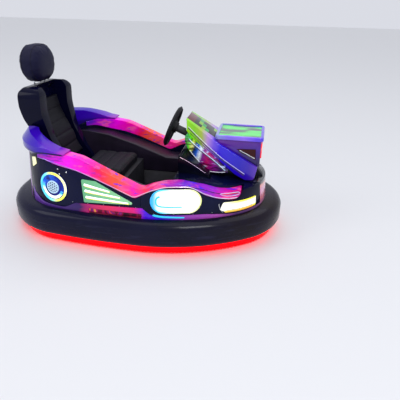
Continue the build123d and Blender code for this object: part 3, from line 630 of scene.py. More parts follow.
def surface_of(*names):
    """The faces of some objects as one surface to cast rays at."""
    points, faces = [], []
    for name in names:
        mesh = bpy.data.objects[name].data
        faces += [tuple(v + len(points) for v in face.vertices) for face in mesh.polygons]
        points += [vertex.co.copy() for vertex in mesh.vertices]
    return BVHTree.FromPolygons(points, faces)


black_cover = cover("seat cover", "08080f", "10101a", 320.0)
navy_cover = cover("headrest cover", "0a0a26", "101034", 360.0)
cushion_low, cushion_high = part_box("seat_cushion")
cushion_mid = (cushion_low.x + cushion_high.x) / 2
cushion_channels = [cushion_mid + step for step in (-0.08, 0, 0.08)]
stuffed("seat_cushion", black_cover, 0.006, 0.010, channels=cushion_channels)
stuffed("seat_pad", black_cover, 0.004, 0.006, channels=[0.50, 0.58, 0.66, 0.74], along=2)
stuffed("headrest", navy_cover, -0.003, 0.010)


def smooth_line(points, closed=False, between=6):
    """A curve through points, divided evenly between each two of them."""
    points = [Vector(p) for p in points]
    count = len(points)
    line = []
    for i in range(count if closed else count - 1):
        if closed:
            a, b, c, d = [points[(i + n) % count] for n in (-1, 0, 1, 2)]
        else:
            a, b, c, d = [points[min(max(i + n, 0), count - 1)] for n in (-1, 0, 1, 2)]
        bend, twist = 2 * a - 5 * b + 4 * c - d, 3 * b - a - 3 * c + d
        for n in range(between):
            t = n / between
            line.append(0.5 * (2 * b + (c - a) * t + bend * t**2 + twist * t**3))
    return line if closed else line + [points[-1]]


def tube(name, lines, radius, sides=8, closed=False, flat=1.0, taper=0.0):
    """Round bead along each line of points, with closed ends, thinner towards its end where it tapers."""
    work = bmesh.new()
    for line in lines:
        rings = []
        count = len(line)
        for i, point in enumerate(line):
            before = line[i - 1] if closed or i > 0 else point
            after = line[(i + 1) % count] if closed or i < count - 1 else point
            ahead = (after - before).normalized()
            out = Vector((0, 0, 1)) if abs(ahead.z) < 0.9 else Vector((1, 0, 0))
            across = ahead.cross(out).normalized()
            lift = across.cross(ahead)
            size = radius * (1 - taper * i / count)
            ring = circle(size, sides)
            rings.append([work.verts.new(point + across * flat * u + lift * v) for u, v in ring])
        join_rings(work, rings + rings[:1] if closed else rings)
        if not closed:
            work.faces.new(rings[0][::-1])
            work.faces.new(rings[-1])
    bmesh.ops.recalc_face_normals(work, faces=work.faces)
    return shaped(name, work, 50)


welt_paint = cover("welt", "07071a", "0c0c26", 700.0)
rest_low, rest_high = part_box("headrest")
rest_skin = surface_of("headrest_foam")
rest_z = (rest_low.z + rest_high.z) / 2
welt_inset = 0.028
for name, x in (("front", rest_high.x - welt_inset), ("back", rest_low.x + welt_inset)):
    loop = []
    for y, z in circle(1, 72):
        away = Vector((0, y, z))
        place, _, _, _ = rest_skin.ray_cast(Vector((x, 0, rest_z)), away)
        loop.append(place + away * 0.0002)
    settle(tube("headrest_welt_" + name, [loop], 0.0022, closed=True), welt_paint, "headrest")

# Body sides
# The skin is a thin moulding over the wall: plated, pearly colour on sill, bands, cowl
# and nose, and gloss black on quarters, fenders and hood. The colour that runs along the
# car is the trim's own lilac, violet and magenta with the arena's coloured light and its
# reflections painted in, and the gloss has the faint ripple of a moulded panel.
shell_nodes = (
    "rear_quarters", "front_fenders", "side_bands", "side_sills", "tail_panel", "rear_cowl", "nose_panel",
    "wheel_lamps", "side_lamps", "triangle_lamps", "headlights", "tail_lamps",
)
skin = surface_of(*shell_nodes)
clear_of_body, body_half, cockpit_half = 0.9, 0.47, 0.1


def on_side(x, z, proud=0.0, side=-1):
    """Point on the body's side at a place in its side view, or next to it, standing proud by so much."""
    place, normal, _, _ = skin.ray_cast(Vector((x, side * clear_of_body, z)), Vector((0, -side, 0)))
    if place is None or place.y * side < cockpit_half:
        place, normal, _, _ = skin.find_nearest(Vector((x, side * body_half, z)))
    if normal.y * side < 0:
        normal = -normal
    return place + normal * proud


def side_bead(name, points, radius, paint, node, proud=0.0, closed=False, between=6, sides=6, **form):
    """A bead laid on both sides of the body along places in its side view."""
    line = smooth_line([(x, 0, z) for x, z in points], closed, between)
    lines = [[on_side(p.x, p.z, proud, side) for p in line] for side in (-1, 1)]
    return settle(tube(name, lines, radius, sides, closed, **form), paint, node)


black_panel = Paint("panel gloss black", coat_weight=0.18, coat_roughness=0.04, specular_ior_level=0.06)
panel_cloud = black_panel.noise(3.5, 3.0)
panel_dust = black_panel.noise(40.0, 5.0).above(0.6, 0.1) * (1 - black_panel.z.above(0.34, 0.09))
black_panel.bump(black_panel.noise(16.0, 2.0), 0.0012, 0.12)
black_panel.feed(
    base_color=black_panel.mix(panel_cloud.above(0.5, 0.25), "04051a", "0a1036"),
    roughness=0.16 + panel_cloud * 0.08 + panel_dust * 0.2,
)
for node in ("rear_quarters", "front_fenders", "hood"):
    finished(node, black_panel, bevel=0.0012, smooth=30)


def pearl(name, stops, low=-0.6, high=0.7, streak=0.07, **constants):
    """Plated pearl trim with painted light: a colour that runs along the car, pulled about in soft
    streaks, which paints the arena's coloured light and reflections over the trim's own colour.
    """
    paint = Paint(name, coat_weight=0.35, coat_roughness=0.08, specular_ior_level=0.15, **constants)
    drift = paint.noise(5.5, 3.0, (1, 1, 2.6))
    fine = paint.noise(22.0, 4.0, (0.7, 1, 3.0))
    # Painted coloured light: the ramp along the car stands for light and reflections on the trim.
    along = paint.x + (drift - 0.5) * streak * 4 + (fine - 0.5) * streak
    colour = paint.ramp(along, low, high, stops)
    paint.bump(drift, 0.002, 0.12)
    paint.colour, paint.fine = colour, fine
    return paint


band = pearl(
    "band plating",
    [
        (0.00, "5a14b4"), (0.07, "b00cc8"), (0.16, "f804e8"), (0.27, "f804b0"), (0.33, "f01450"),
        (0.41, "f85034"), (0.48, "fc10a8"), (0.56, "ec3050"), (0.64, "d01890"), (0.74, "6420c0"),
        (0.84, "9c20c0"), (0.93, "e00878"), (1.0, "b01488"),
    ],
    emission_strength=0.25,
)
# Painted reflections: blue reflections, pale pink highlights and dark reflection streaks lie over the
# band, which also glows faintly as painted light.
band_blue_reflection = band.fine.above(0.60, 0.05) * band.noise(9.0, 2.0).above(0.52, 0.08)
band_pink_highlight = band.noise(13.0, 4.0, (0.6, 1, 2.0)).above(0.60, 0.04)
band_dark_reflection = band.noise(17.0, 4.0, (0.5, 1, 2.4)).above(0.63, 0.05)
band_look = band.mix(band_pink_highlight * 0.6, band.colour, "ff5aa0")
band_look = band.mix(band_dark_reflection * 0.7, band_look, "6a0a90")
band_look = band.mix(band_blue_reflection * 0.85, band_look, "2a1ae0")
band.glow(band_look, roughness=0.16 + band.fine * 0.12)
finished("side_bands", band, bevel=0.006, segments=4, smooth=30)
# Its colour along the car is painted coloured light over a pale lilac trim.
pale = Paint("pale plated trim", metallic=0.2, coat_weight=1.0, coat_roughness=0.05)
pale_drift = pale.noise(12.0, 3.0)
pale.feed(
    base_color=pale.ramp(
        pale.x + (pale_drift - 0.5) * 0.3, -0.6, 0.75,
        [(0.0, "9a6cf0"), (0.35, "f2a6e6"), (0.6, "ffd0e0"), (0.8, "e4c8ff"), (1.0, "f0e8ff")],
    ),
    roughness=0.14 + pale_drift * 0.1,
)
band_edge = [
    (-0.590, 0.541), (-0.545, 0.541), (-0.500, 0.535), (-0.451, 0.524), (-0.380, 0.510), (-0.309, 0.495),
    (-0.197, 0.459), (-0.108, 0.426), (-0.020, 0.391), (0.020, 0.375), (0.042, 0.371), (0.066, 0.380),
    (0.134, 0.412), (0.180, 0.428), (0.226, 0.440), (0.300, 0.444), (0.366, 0.440), (0.410, 0.420),
    (0.454, 0.393), (0.521, 0.365), (0.588, 0.350), (0.640, 0.348),
]
side_bead(
    "band_edge_trim", [(x, z + 0.004) for x, z in band_edge], 0.0030, pale, "side_bands", proud=0.0006
)
slot_paint = Paint("band slot red", roughness=0.25, coat_weight=1.0)
slot_colour = slot_paint.ramp(
    slot_paint.x, 0.5, 0.65, [(0.0, "7c1038"), (0.5, "ff2468"), (1.0, "b3123c")]
)
slot_paint.feed(base_color=slot_colour)
slot_line = [(0.548, 0.3855), (0.58, 0.3800), (0.61, 0.3785), (0.640, 0.3780)]
side_bead("band_slot", slot_line, 0.0065, slot_paint, "side_bands", proud=-0.002, flat=0.5)
slot_rim = [
    (0.540, 0.3890), (0.58, 0.3705), (0.640, 0.3685), (0.652, 0.3770), (0.640, 0.3860), (0.58, 0.3870)
]
side_bead("band_slot_rim", slot_rim, 0.0022, pale, "side_bands", closed=True)

violet = pearl(
    "cowl violet",
    [(0.0, "3c08c4"), (0.3, "2804a0"), (0.6, "3606b0"), (0.85, "6410bc"), (1.0, "b418c0")],
    low=-0.83, high=-0.38, streak=0.03, emission_strength=0.15,
)
# Painted shade: the cowl turns dark indigo below its lobe. It also glows faintly as painted light.
violet_shade_below = violet.z.above(0.592, 0.016)
violet_rim = violet.z.above(0.684, 0.004)
violet_look = violet.mix(violet_shade_below, "16084c", violet.colour)
violet.feed(
    base_color=violet.mix(violet_rim * 0.6, violet_look, "a884f4"),
    roughness=0.18 + violet.fine * 0.1,
    emission_color=violet.colour,
)
finished("rear_cowl", violet, bevel=0.010, segments=4, smooth=32)
tail = pearl(
    "tail violet",
    [
        (0.0, "2c1478"), (0.45, "40209c"), (0.66, "8c48c8"), (0.74, "e088dc"), (0.79, "1c1040"),
        (1.0, "07060f"),
    ],
    low=-0.80, high=-0.68, streak=0.0015,
)
tail.feed(base_color=tail.colour, roughness=0.2 + tail.fine * 0.12)
finished("tail_panel", tail, bevel=0.002)
tail_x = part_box("tail_panel")[0].x
socket_z, collar_screw_ring = 0.3, 0.0200
rearward = Matrix.Rotation(radians(-90), 4, "Y")
collar_foot = (0.0155, -0.004)
collar_rows = [
    collar_foot, (0.0155, 0.0025), (0.0185, 0.0035), (0.0235, 0.0025), (0.0245, -0.004), collar_foot
]
collar = turned_part("socket_collar", collar_rows, 40)
collar.data.transform(Matrix.Translation((tail_x, 0, socket_z)) @ rearward)
settle(collar, tub, "tail_panel")
for i, (y, z) in enumerate(circle(collar_screw_ring, 3, 0.25)):
    rows = [(0.0016, 0.002), (0.0016, 0.0034), (0.0008, 0.0036), (0, 0.0030)]
    screw = turned_part("collar_screw_" + str(i), rows, 10)
    screw.data.transform(Matrix.Translation((tail_x, y, socket_z + z)) @ rearward)
    settle(screw, steel, "tail_panel")


def mottled(name, first, second, scale, detail=3.0, **constants):
    """Paint of two close shades, mixed in soft clouds."""
    paint = Paint(name, **constants)
    paint.feed(base_color=paint.mix(paint.noise(scale, detail), first, second))
    return paint


# Painted shadow: dark beads lie in the crease under the cowl's lobe and along the band's upper front,
# where shade falls.
crease_shadow_paint = mottled("cowl crease", "0c0638", "1a0c58", 20.0, roughness=0.3, specular_ior_level=0.2)
cowl_shadow_line = [(-0.655, 0.553), (-0.60, 0.578), (-0.52, 0.5945), (-0.45, 0.5965), (-0.392, 0.596)]
side_bead("cowl_crease", cowl_shadow_line, 0.0045, crease_shadow_paint, "rear_cowl", flat=0.5)
band_shadow_line = [
    (0.345, 0.4530), (0.36, 0.4490), (0.40, 0.4380), (0.44, 0.4270), (0.48, 0.4120), (0.51, 0.4000),
    (0.545, 0.3900),
]
side_bead("band_crease", band_shadow_line, 0.0022, crease_shadow_paint, "side_bands", flat=0.6)

sill = pearl(
    "sill plating",
    [
        (0.0, "7a48b8"), (0.10, "4a2480"), (0.26, "30185c"), (0.31, "c01c70"), (0.40, "e83060"),
        (0.49, "e81880"), (0.55, "4a10e0"), (0.60, "2a14c8"), (0.70, "9038b0"), (0.80, "a848a8"),
        (0.90, "4c2c64"), (1.0, "8a5a90"),
    ],
    low=-0.72, high=0.82, streak=0.04, emission_strength=0.12,
)
# Painted shade: the groove in the sill is painted dark red and near black, its own red with the shade in
# it. The sill glows faintly as painted light.
sill_slot = sill.x.between(-0.254, 0.083, 0.002) * sill.z.between(0.234, 0.2690, 0.0015)
groove_red_and_shade = sill.mix(sill.fine.above(0.5, 0.15), "30081c", "7c1030")
sill_look = sill.mix(sill_slot, sill.colour, groove_red_and_shade)
sill.glow(sill_look, roughness=0.18 + sill.fine * 0.14)
finished("side_sills", sill, bevel=0.0015, smooth=30)
# The stripes in the groove glow faintly as painted light.
stripe = Paint("groove stripes", roughness=0.3, specular_ior_level=0.2, emission_strength=0.15)
stripe_pick = stripe.noise(24.0, 1.0, (1, 0.1, 0.35)) + stripe.x * 0.55 + 0.02
stripe_colour = stripe.ramp(
    stripe_pick, 0.25, 0.62,
    [
        (0.0, "f0d850"), (0.18, "e83850"), (0.34, "2c2080"), (0.5, "c01848"), (0.66, "4c0a34"),
        (0.82, "701030"), (1.0, "2c0820"),
    ],
)
stripe.glow(stripe_colour)
groove_line = [(x, 0.2560) for x in (-0.252, -0.15, -0.03, 0.078)]
side_bead("groove_strip", groove_line, 0.0112, stripe, "side_sills", proud=0.0028, flat=0.2, sides=10)
nose = Paint("nose plating", coat_weight=1.0, coat_roughness=0.06, roughness=0.22)
nose_drift = nose.noise(8.0, 3.0)
nose.bump(nose_drift, 0.002, 0.12)
# Painted shadow: the nose's top is painted near black as the shadow of the tray above it; below that, its
# colour changes with height.
nose_colour_and_shadow = nose.ramp(
    nose.z + (nose_drift - 0.5) * 0.03, 0.22, 0.42,
    [
        (0.0, "b070c8"), (0.3, "f88898"), (0.55, "e890c8"), (0.72, "f8a098"), (0.78, "0c0c18"),
        (1.0, "06070e"),
    ],
)
nose.feed(base_color=nose_colour_and_shadow)
finished("nose_panel", nose, bevel=0.004, segments=3)

# Body side fixings
# Small countersunk screws hold the black panels along their lower edges, and three
# bright studs hold the quarter under the band.
screw_step = 0.098
screw_rows = [(0.0028, -0.001), (0.0028, 0.0006), (0.0020, 0.0011), (0.0012, 0.0007), (0, 0.0007)]
stud_rows = [(0.0048, -0.001), (0.0048, 0.0012), (0.0034, 0.0026), (0, 0.0032)]
stud_places = ((-0.445, 0.496), (-0.436, 0.465), (-0.388, 0.482))
for side, hand in ((-1, "_right"), (1, "_left")):
    outward = Matrix.Rotation(radians(90 * -side), 4, "X")
    for name, node, start, end in (
        ("quarter", "rear_quarters", (-0.36, 0.297), (0.05, 0.308)),
        ("fender", "front_fenders", (0.16, 0.2745), (0.50, 0.2745)),
    ):
        places = [Vector(start).lerp(Vector(end), i / 12) for i in range(13)]
        line = [on_side(x, z, 0.0, side) for x, z in places]
        screw = turned_part("screw", screw_rows, 10)
        screw.data.transform(outward)
        repeated("screws_" + name + hand, line, False, screw_step, screw, steel, node)
    for i, (x, z) in enumerate(stud_places):
        stud = turned_part("quarter_stud_" + str(i) + hand, stud_rows, 16)
        stud.data.transform(Matrix.Translation(on_side(x, z, 0.0, side)) @ outward)
        settle(stud, chrome, "rear_quarters")

# Lamps
# Each lamp is a milky moulded lens over small lamps, let into the body. The wheel lamp
# has a lit ring and an arc round a pierced hub, the triangle lamp three bright bars, the
# side lamp an accent tube in a lit bezel, and the headlight a coloured rim.
lamp_x, lamp_z = -0.488, 0.377


def lens(name, strength, **constants):
    """Paint of a smooth lens, lit so strongly."""
    return Paint(
        name, roughness=0.12, coat_weight=1.0, coat_roughness=0.04, emission_strength=strength,
        **constants,
    )


def lamp_ring(name, rows, paint, turns=72):
    """A ring round the wheel lamp's middle on both sides: rows of radius and how far it stands proud."""
    work = bmesh.new()
    for side in (-1, 1):
        rings = []
        for radius, proud in rows:
            places = [on_side(lamp_x + x, lamp_z + z, proud, side) for x, z in circle(radius, turns)]
            rings.append([work.verts.new(place) for place in places])
        join_rings(work, rings + rings[:1])
    bmesh.ops.recalc_face_normals(work, faces=work.faces)
    return settle(shaped(name, work, 50), paint, "wheel_lamps")


well = Paint(
    "wheel lamp well", roughness=0.15, coat_weight=0.3, specular_ior_level=0.15, emission_strength=0.5
)
well_light = well.noise(14.0, 2.0)
well_colour = well.ramp(
    well_light + (well.z - lamp_z) * 2, 0.3, 0.8,
    [(0.0, "030c40"), (0.5, "061c8c"), (0.8, "0850c4"), (1.0, "051870")],
)
well.glow(well_colour)
finished("wheel_lamps", well, bevel=0.002)
ring_paint = lens("wheel lamp rings", 0.8)
swing = (ring_paint.x - lamp_x) + (ring_paint.z - lamp_z) * 0.2
ring_colour = ring_paint.ramp(
    swing + (ring_paint.noise(30.0, 2.0) - 0.5) * 0.05, -0.11, 0.11,
    [
        (0.0, "18a8e0"), (0.25, "48d0f0"), (0.42, "90e8c8"), (0.55, "e0f060"), (0.75, "f0f040"),
        (1.0, "ffffd8"),
    ],
)
ring_paint.glow(ring_colour)
outer_rows = [(0.0955, -0.001), (0.0935, 0.0035), (0.0875, 0.0055), (0.0815, 0.0045), (0.0795, -0.001)]
lamp_ring("wheel_lamp_outer", outer_rows, ring_paint)
arc_paint = lens("wheel lamp arc", 0.9)
arc_swing = arc_paint.x * -0.3 - arc_paint.z
arc_colour = arc_paint.ramp(
    arc_swing, -0.240, -0.165, [(0.0, "2060e0"), (0.35, "30b8f0"), (0.6, "d8f8f8"), (1.0, "ffffff")]
)
arc_paint.glow(arc_colour)
arc_radius = 0.066
arc_turns = [radians(a) for a in range(150, 346, 6)]
arc_places = [(lamp_x + arc_radius * cos(a), lamp_z + arc_radius * sin(a)) for a in arc_turns]
arcs = [[on_side(x, z, 0.0, side) for x, z in arc_places] for side in (-1, 1)]
settle(tube("wheel_lamp_arc", arcs, 0.0095, 10, flat=0.6), arc_paint, "wheel_lamps")
hub_paint = Paint("wheel lamp hub", roughness=0.2, coat_weight=0.3, emission_strength=0.3)
hub_shade = hub_paint.noise(20.0, 2.0)
hub_colour = hub_paint.mix(hub_shade, "8cc8e8", "d8e8f4")
hub_paint.glow(hub_colour)
hub_rows = [(0.0420, -0.001), (0.0400, 0.0050), (0.0350, 0.0055), (0.0335, 0.0020), (0.0335, -0.001)]
lamp_ring("wheel_lamp_hub_rim", hub_rows, hub_paint, 48)
hole_paint = Paint("wheel lamp hub plate", roughness=0.2, emission_strength=0.3)
hole_pitch = 0.0140
hub_across = (hole_paint.x - lamp_x) * (2 * pi / hole_pitch)
hub_up = (hole_paint.z - lamp_z) * (2 * pi / hole_pitch)
row_cosine, row_sine = 0.5, 0.866
slant_across, slant_up = hub_across * row_cosine, hub_up * row_sine
weave = hub_across.math("COSINE") + (slant_across + slant_up).math("COSINE")
weave = weave + (slant_across - slant_up).math("COSINE")
holes = weave.above(0.25, 0.3)
plate_face = hole_paint.mix(hole_paint.noise(20.0), "9cc4e0", "d0e4f4")
plate_look = hole_paint.mix(holes, plate_face, "0a1c50")
hole_paint.bump(1 - holes, 0.001, 0.6)
hole_paint.glow(plate_look)
plate_rows = [(0.0345, -0.001), (0.0345, 0.0030), (0.0170, 0.0036), (0.0004, 0.0038), (0.0004, -0.001)]
lamp_ring("wheel_lamp_hub_plate", plate_rows, hole_paint, 48)

green = lens("triangle lamp lens", 0.2)
green_fade = green.noise(9.0, 2.0)
green_colour = green.ramp(
    green.x + (green_fade - 0.5) * 0.1, -0.29, 0.05, [(0.0, "5cb078"), (0.4, "70bc88"), (1.0, "98d89c")]
)
green.bump((green.z * 700.0).math("SINE"), 0.0004, 0.4)
green.glow(green_colour)
finished("triangle_lamps", green, bevel=0.002)
bar_white = lens("bar white", 0.9, base_color=(1, 1, 0.96, 1))
bar_white.feed(emission_color=bar_white.mix(bar_white.noise(30.0, 1.0), (1, 1, 1, 1), (1, 1, 0.9, 1)))
bar_rim = lens("bar rim yellow", 0.6, base_color="d8d820")
bar_rim.feed(emission_color=bar_rim.mix(bar_rim.noise(30.0, 1.0), "f4ec18", "d0e030"))
bars = (
    ((-0.272, 0.420), (-0.112, 0.393)), ((-0.269, 0.382), (-0.048, 0.361)),
    ((-0.265, 0.342), (0.004, 0.331)),
)
for i, (start, end) in enumerate(bars):
    steps = [Vector(start).lerp(Vector(end), t / 8) for t in range(9)]
    low_steps = [(x + 0.005, z - 0.0040) for x, z in steps]
    side_bead(
        "triangle_bar_rim_" + str(i), low_steps, 0.0105, bar_rim, "triangle_lamps", proud=-0.0058,
        between=2, sides=12, taper=0.4,
    )
    side_bead(
        "triangle_bar_" + str(i), steps, 0.0085, bar_white, "triangle_lamps", proud=-0.0025, between=2,
        sides=12, taper=0.45,
    )

white = lens("side lamp lens", 0.4)
glow_edge = 1 - white.x.above(0.172, 0.022)
inner = white.x.between(0.190, 0.395, 0.012) * white.z.between(0.333, 0.381, 0.010)
white_base = white.mix(inner * 0.55, (0.97, 1.0, 0.98, 1), "c8e8f0")
white_colour = white.mix(glow_edge, white_base, "20b8f0")
white.glow(white_colour)
finished("side_lamps", white, bevel=0.003, segments=3)
cyan = lens("cyan accent", 0.7, base_color="08a8d0")
cyan.feed(emission_color=cyan.mix(cyan.noise(20.0, 1.0), "08b8e8", "10d8d8"))
accent_line = [
    (0.196, 0.388), (0.180, 0.380), (0.172, 0.360), (0.176, 0.338), (0.195, 0.326), (0.24, 0.322),
    (0.29, 0.322), (0.325, 0.323),
]
side_bead("side_lamp_accent", accent_line, 0.0060, cyan, "side_lamps", flat=0.7, taper=0.5)
bezel_x, bezel_z, bezel_straight, bezel_radius = 0.288, 0.357, 0.074, 0.0715
rim_line = []
for across, up in circle(bezel_radius, 64):
    end_x = bezel_x + (bezel_straight if across > 0 else -bezel_straight)
    rim_line.append((end_x + across, bezel_z + up))
rim_glass = lens("lamp bezel", 0.6)
rim_colour = rim_glass.ramp(
    rim_glass.x, 0.13, 0.44,
    [(0.0, "0090e8"), (0.25, "50d0f0"), (0.45, "e8f8f0"), (0.8, "e8f0b8"), (1.0, "e0e890")],
)
rim_glass.glow(rim_colour)
side_bead("side_lamp_bezel", rim_line, 0.0048, rim_glass, "side_lamps", closed=True, between=1)
cyan_strip = [(0.150, 0.2665), (0.20, 0.2580), (0.27, 0.2545), (0.34, 0.2520)]
side_bead("under_lamp_strip", cyan_strip, 0.0085, cyan, "side_sills", proud=-0.003, flat=0.8, taper=0.3)

warm = lens("headlight lens", 0.6)
warm_low = 1 - warm.z.above(0.276, 0.004)
warm_high = warm.z.above(0.316, 0.008) * warm.x.above(0.61, 0.09)
warm_face = warm.mix(warm_high, (1.0, 1.0, 0.88, 1), "f4f030")
warm_colour = warm.mix(warm_low, warm_face, "f8e83c")
warm.glow(warm_colour)
finished("headlights", warm, bevel=0.002)
amber = lens("headlight trim amber", 0.5, base_color="d89018")
amber.feed(
    emission_color=amber.ramp(amber.x, 0.58, 0.76, [(0.0, "f0e040"), (0.5, "f4b838"), (1.0, "e88850")])
)
for name, places, radius, paint, node, proud in (
    (
        "headlight_rim_low", [(0.575, 0.2700), (0.62, 0.2690), (0.68, 0.2680), (0.735, 0.2670)], 0.0055,
        amber, "headlights", -0.001,
    ),
    (
        "headlight_bracket", [(0.536, 0.326), (0.540, 0.305), (0.548, 0.284), (0.562, 0.268)], 0.0032,
        chrome, "front_fenders", 0,
    ),
    (
        "headlight_divider", [(0.585, 0.2790), (0.62, 0.2785), (0.68, 0.2775), (0.735, 0.2765)], 0.0013,
        black_panel, "headlights", 0,
    ),
):
    side_bead(name, places, radius, paint, node, proud)

yellow = lens("tail lamp lens", 0.5)
yellow_colour = yellow.mix(yellow.noise(70.0, 2.0), "f0f060", "fffff0")
yellow.bump((yellow.z * 900.0).math("SINE"), 0.0005, 0.5)
yellow.glow(yellow_colour)
finished("tail_lamps", yellow, bevel=0.0015)

# Console
# A gloss-black plinth carries two painted fins and a shallow tray, all thin mouldings.
# The tray's flanks fade from lime through lilac to blue, and pin lines and short
# blocks are printed on it; the fins are streaked green, blue and magenta, with painted
# glints and streaks of painted shade. Fins and tray glow faintly as painted light.
plinth = Paint("plinth gloss black", coat_weight=0.2, coat_roughness=0.05, specular_ior_level=0.06)
plinth_cloud = plinth.noise(5.0, 3.0)
plinth.bump(plinth.noise(30.0, 2.0), 0.0004, 0.2)
plinth.feed(base_color=plinth.mix(plinth_cloud, "05060c", "0c1024"), roughness=0.13 + plinth_cloud * 0.1)
finished("console_plinth", plinth, bevel=0.002, smooth=30)

# The fins glow faintly as painted light; painted glints and streaks of painted shade lie over their
# colour.
fin = Paint("streaked fin", coat_weight=1.0, coat_roughness=0.06, emission_strength=0.18)
fin_warp = fin.noise(9.0, 4.0)
fin_streak = fin.noise(26.0, 5.0, (0.35, 1, 2.4))
fin_along = fin.x - fin.z * 0.35 + (fin_warp - 0.5) * 0.05 + (fin_streak - 0.5) * 0.02
fin_colour = fin.ramp(
    fin_along, 0.05, 0.42,
    [
        (0.0, "12a040"), (0.10, "50d830"), (0.17, "e8f060"), (0.22, "102048"), (0.29, "2060d0"),
        (0.36, "e8f8ff"), (0.42, "7a2090"), (0.52, "b80c60"), (0.66, "8c1088"), (0.80, "30104c"),
        (1.0, "0c0a30"),
    ],
)
fin_glint = fin_streak.above(0.60, 0.03) * fin_warp.above(0.46, 0.05)
fin_shade = fin_streak.between(0.30, 0.40, 0.02)
fin_look = fin.mix(fin_glint * 0.7, fin_colour, "c0d8ff")
fin_look = fin.mix(fin_shade * 0.8, fin_look, "05061c")
fin.glow(fin_look, roughness=0.14 + fin_streak * 0.12)
finished("console_fins", fin, bevel=0.0015, smooth=30)

# The tray glows faintly as painted light.
tray = Paint(
    "tray fade", coat_weight=0.6, coat_roughness=0.05, emission_strength=0.15, specular_ior_level=0.25
)
tray_warp = tray.noise(6.0, 3.0)
tray_along = tray.x + (tray_warp - 0.5) * 0.06
tray_colour = tray.ramp(
    tray_along, 0.27, 0.75,
    [
        (0.0, "90dc10"), (0.14, "7ccc00"), (0.24, "a0b840"), (0.31, "b488d0"), (0.40, "6c4cdc"),
        (0.50, "2808d4"), (0.76, "1800b8"), (0.88, "3414a8"), (1.0, "5c30b0"),
    ],
)


def over_slope(paint, x, z, fall):
    """1 above a plane that falls towards the front from a place, and 0 below it."""
    return (paint.z + (paint.x - x) * fall).above(z, 0.0012)


tray_top = over_slope(tray, 0.276, 0.7585, 0.633).math("MAXIMUM", over_slope(tray, 0.445, 0.6515, 0.548))
tray_print = tray_top * tray.y.between(-0.080, 0.080, 0.001)
block_width, block_length, row_jump, step_jump = 0.054, 0.0230, 0.41, 0.37
block_row = (tray.y / block_width + 0.5).math("FLOOR") * row_jump
block_step = (tray.x / block_length).math("FLOOR") * step_jump + block_row
block_pick = block_step - block_step.math("FLOOR")
block_colour = tray.ramp(
    block_pick, 0.0, 1.0,
    [
        (0.0, "060c08"), (0.38, "060c08"), (0.39, "88c020"), (0.56, "78b020"), (0.57, "0e1c10"),
        (0.84, "182c10"), (0.85, "18a048"), (1.0, "109040"),
    ],
)
block_look = tray.mix(tray.x.above(0.322, 0.001), "5a0f20", block_colour)
tray_look = tray.mix(tray_print, tray_colour, block_look)
tray.bump(tray_warp, 0.001, 0.1)
tray.glow(tray_look, roughness=0.15 + tray_warp * 0.1)
finished("console_tray", tray, bevel=0.004, segments=3, smooth=30)


clear_of_console = 0.6


def on_flank(tree, x, z, proud, side):
    """Point on a console flank at a place in its side view, standing proud by so much."""
    place, normal, _, _ = tree.ray_cast(Vector((x, side * clear_of_console, z)), Vector((0, -side, 0)))
    if normal.y * side < 0:
        normal = -normal
    return place + normal * proud


def flank_bead(name, points, radius, paint, node, proud=0.0, between=8):
    """A bead laid on both flanks of a console piece along places in its side view."""
    tree = surface_of(node)
    line = smooth_line([(x, 0, z) for x, z in points], False, between)
    lines = [[on_flank(tree, p.x, p.z, proud, side) for p in line] for side in (-1, 1)]
    return settle(tube(name, lines, radius), paint, node)


pin_white = mottled("pin line white", "dfe4f0", "f6f8ff", 50.0, roughness=0.25, coat_weight=0.5)
pin_black = mottled("pin line black", "0a0a12", "16161f", 50.0, roughness=0.3, coat_weight=0.5)
for name, places, radius, paint, proud in (
    (
        "tray_line_white", [(0.292, 0.712), (0.40, 0.624), (0.53, 0.530), (0.668, 0.442)], 0.0017,
        pin_white, 0,
    ),
    (
        "tray_line_black", [(0.289, 0.704), (0.40, 0.613), (0.53, 0.519), (0.664, 0.432)], 0.0034,
        pin_black, -0.001,
    ),
    ("tray_line_low", [(0.300, 0.674), (0.40, 0.598), (0.50, 0.528)], 0.0018, pin_black, 0),
):
    flank_bead(name, places, radius, paint, "console_tray", proud)
rear_line = [(0.2785, z) for z in (0.752, 0.720, 0.690)]
flank_bead("tray_rear_line", rear_line, 0.0020, pin_white, "console_tray", between=3)
rear_x, rear_z, rear_half = 0.2755, 0.7635, 0.099
rear_rim = [Vector((rear_x, rear_half * (i / 5 - 1), rear_z)) for i in range(11)]
settle(tube("tray_rear_edge", [rear_rim], 0.0032), pin_white, "console_tray")
fin_foot = [(0.305, 0.5655), (0.353, 0.5165), (0.425, 0.4535), (0.470, 0.4455), (0.546, 0.4545)]
flank_bead("fin_edge", fin_foot, 0.0024, pin_white, "console_fins", between=6)
# This line glows faintly as painted light.
fin_light = Paint("fin line light blue", roughness=0.25, emission_strength=0.2)
fin_light_colour = fin_light.mix(fin_light.noise(30.0, 1.0).above(0.5, 0.1), "60b8e8", "d8ecff")
fin_light.glow(fin_light_colour)
for name, places, radius, paint, proud in (
    (
        "fin_line_top", [(0.300, 0.642), (0.330, 0.616), (0.400, 0.568), (0.482, 0.516), (0.545, 0.466)],
        0.0024, fin_light, 0,
    ),
    (
        "fin_line_dark", [(0.298, 0.634), (0.330, 0.606), (0.400, 0.558), (0.482, 0.506), (0.538, 0.462)],
        0.0026, pin_black, -0.0006,
    ),
):
    flank_bead(name, places, radius, paint, "console_fins", proud)
plinth_line = [(0.262, 0.550), (0.300, 0.534), (0.360, 0.500), (0.425, 0.459)]
flank_bead("plinth_edge", plinth_line, 0.0016, pale, "console_plinth", proud=-0.0005)

# Pod
# The steering pod is a violet moulding under a pearl rim. A glossy green glass is let
# into its top, a dark triangular window into each side, and a red light bar stands at
# each front corner.
pod = Paint(
    "pod violet", coat_weight=0.6, coat_roughness=0.05, emission_strength=0.12, specular_ior_level=0.25
)
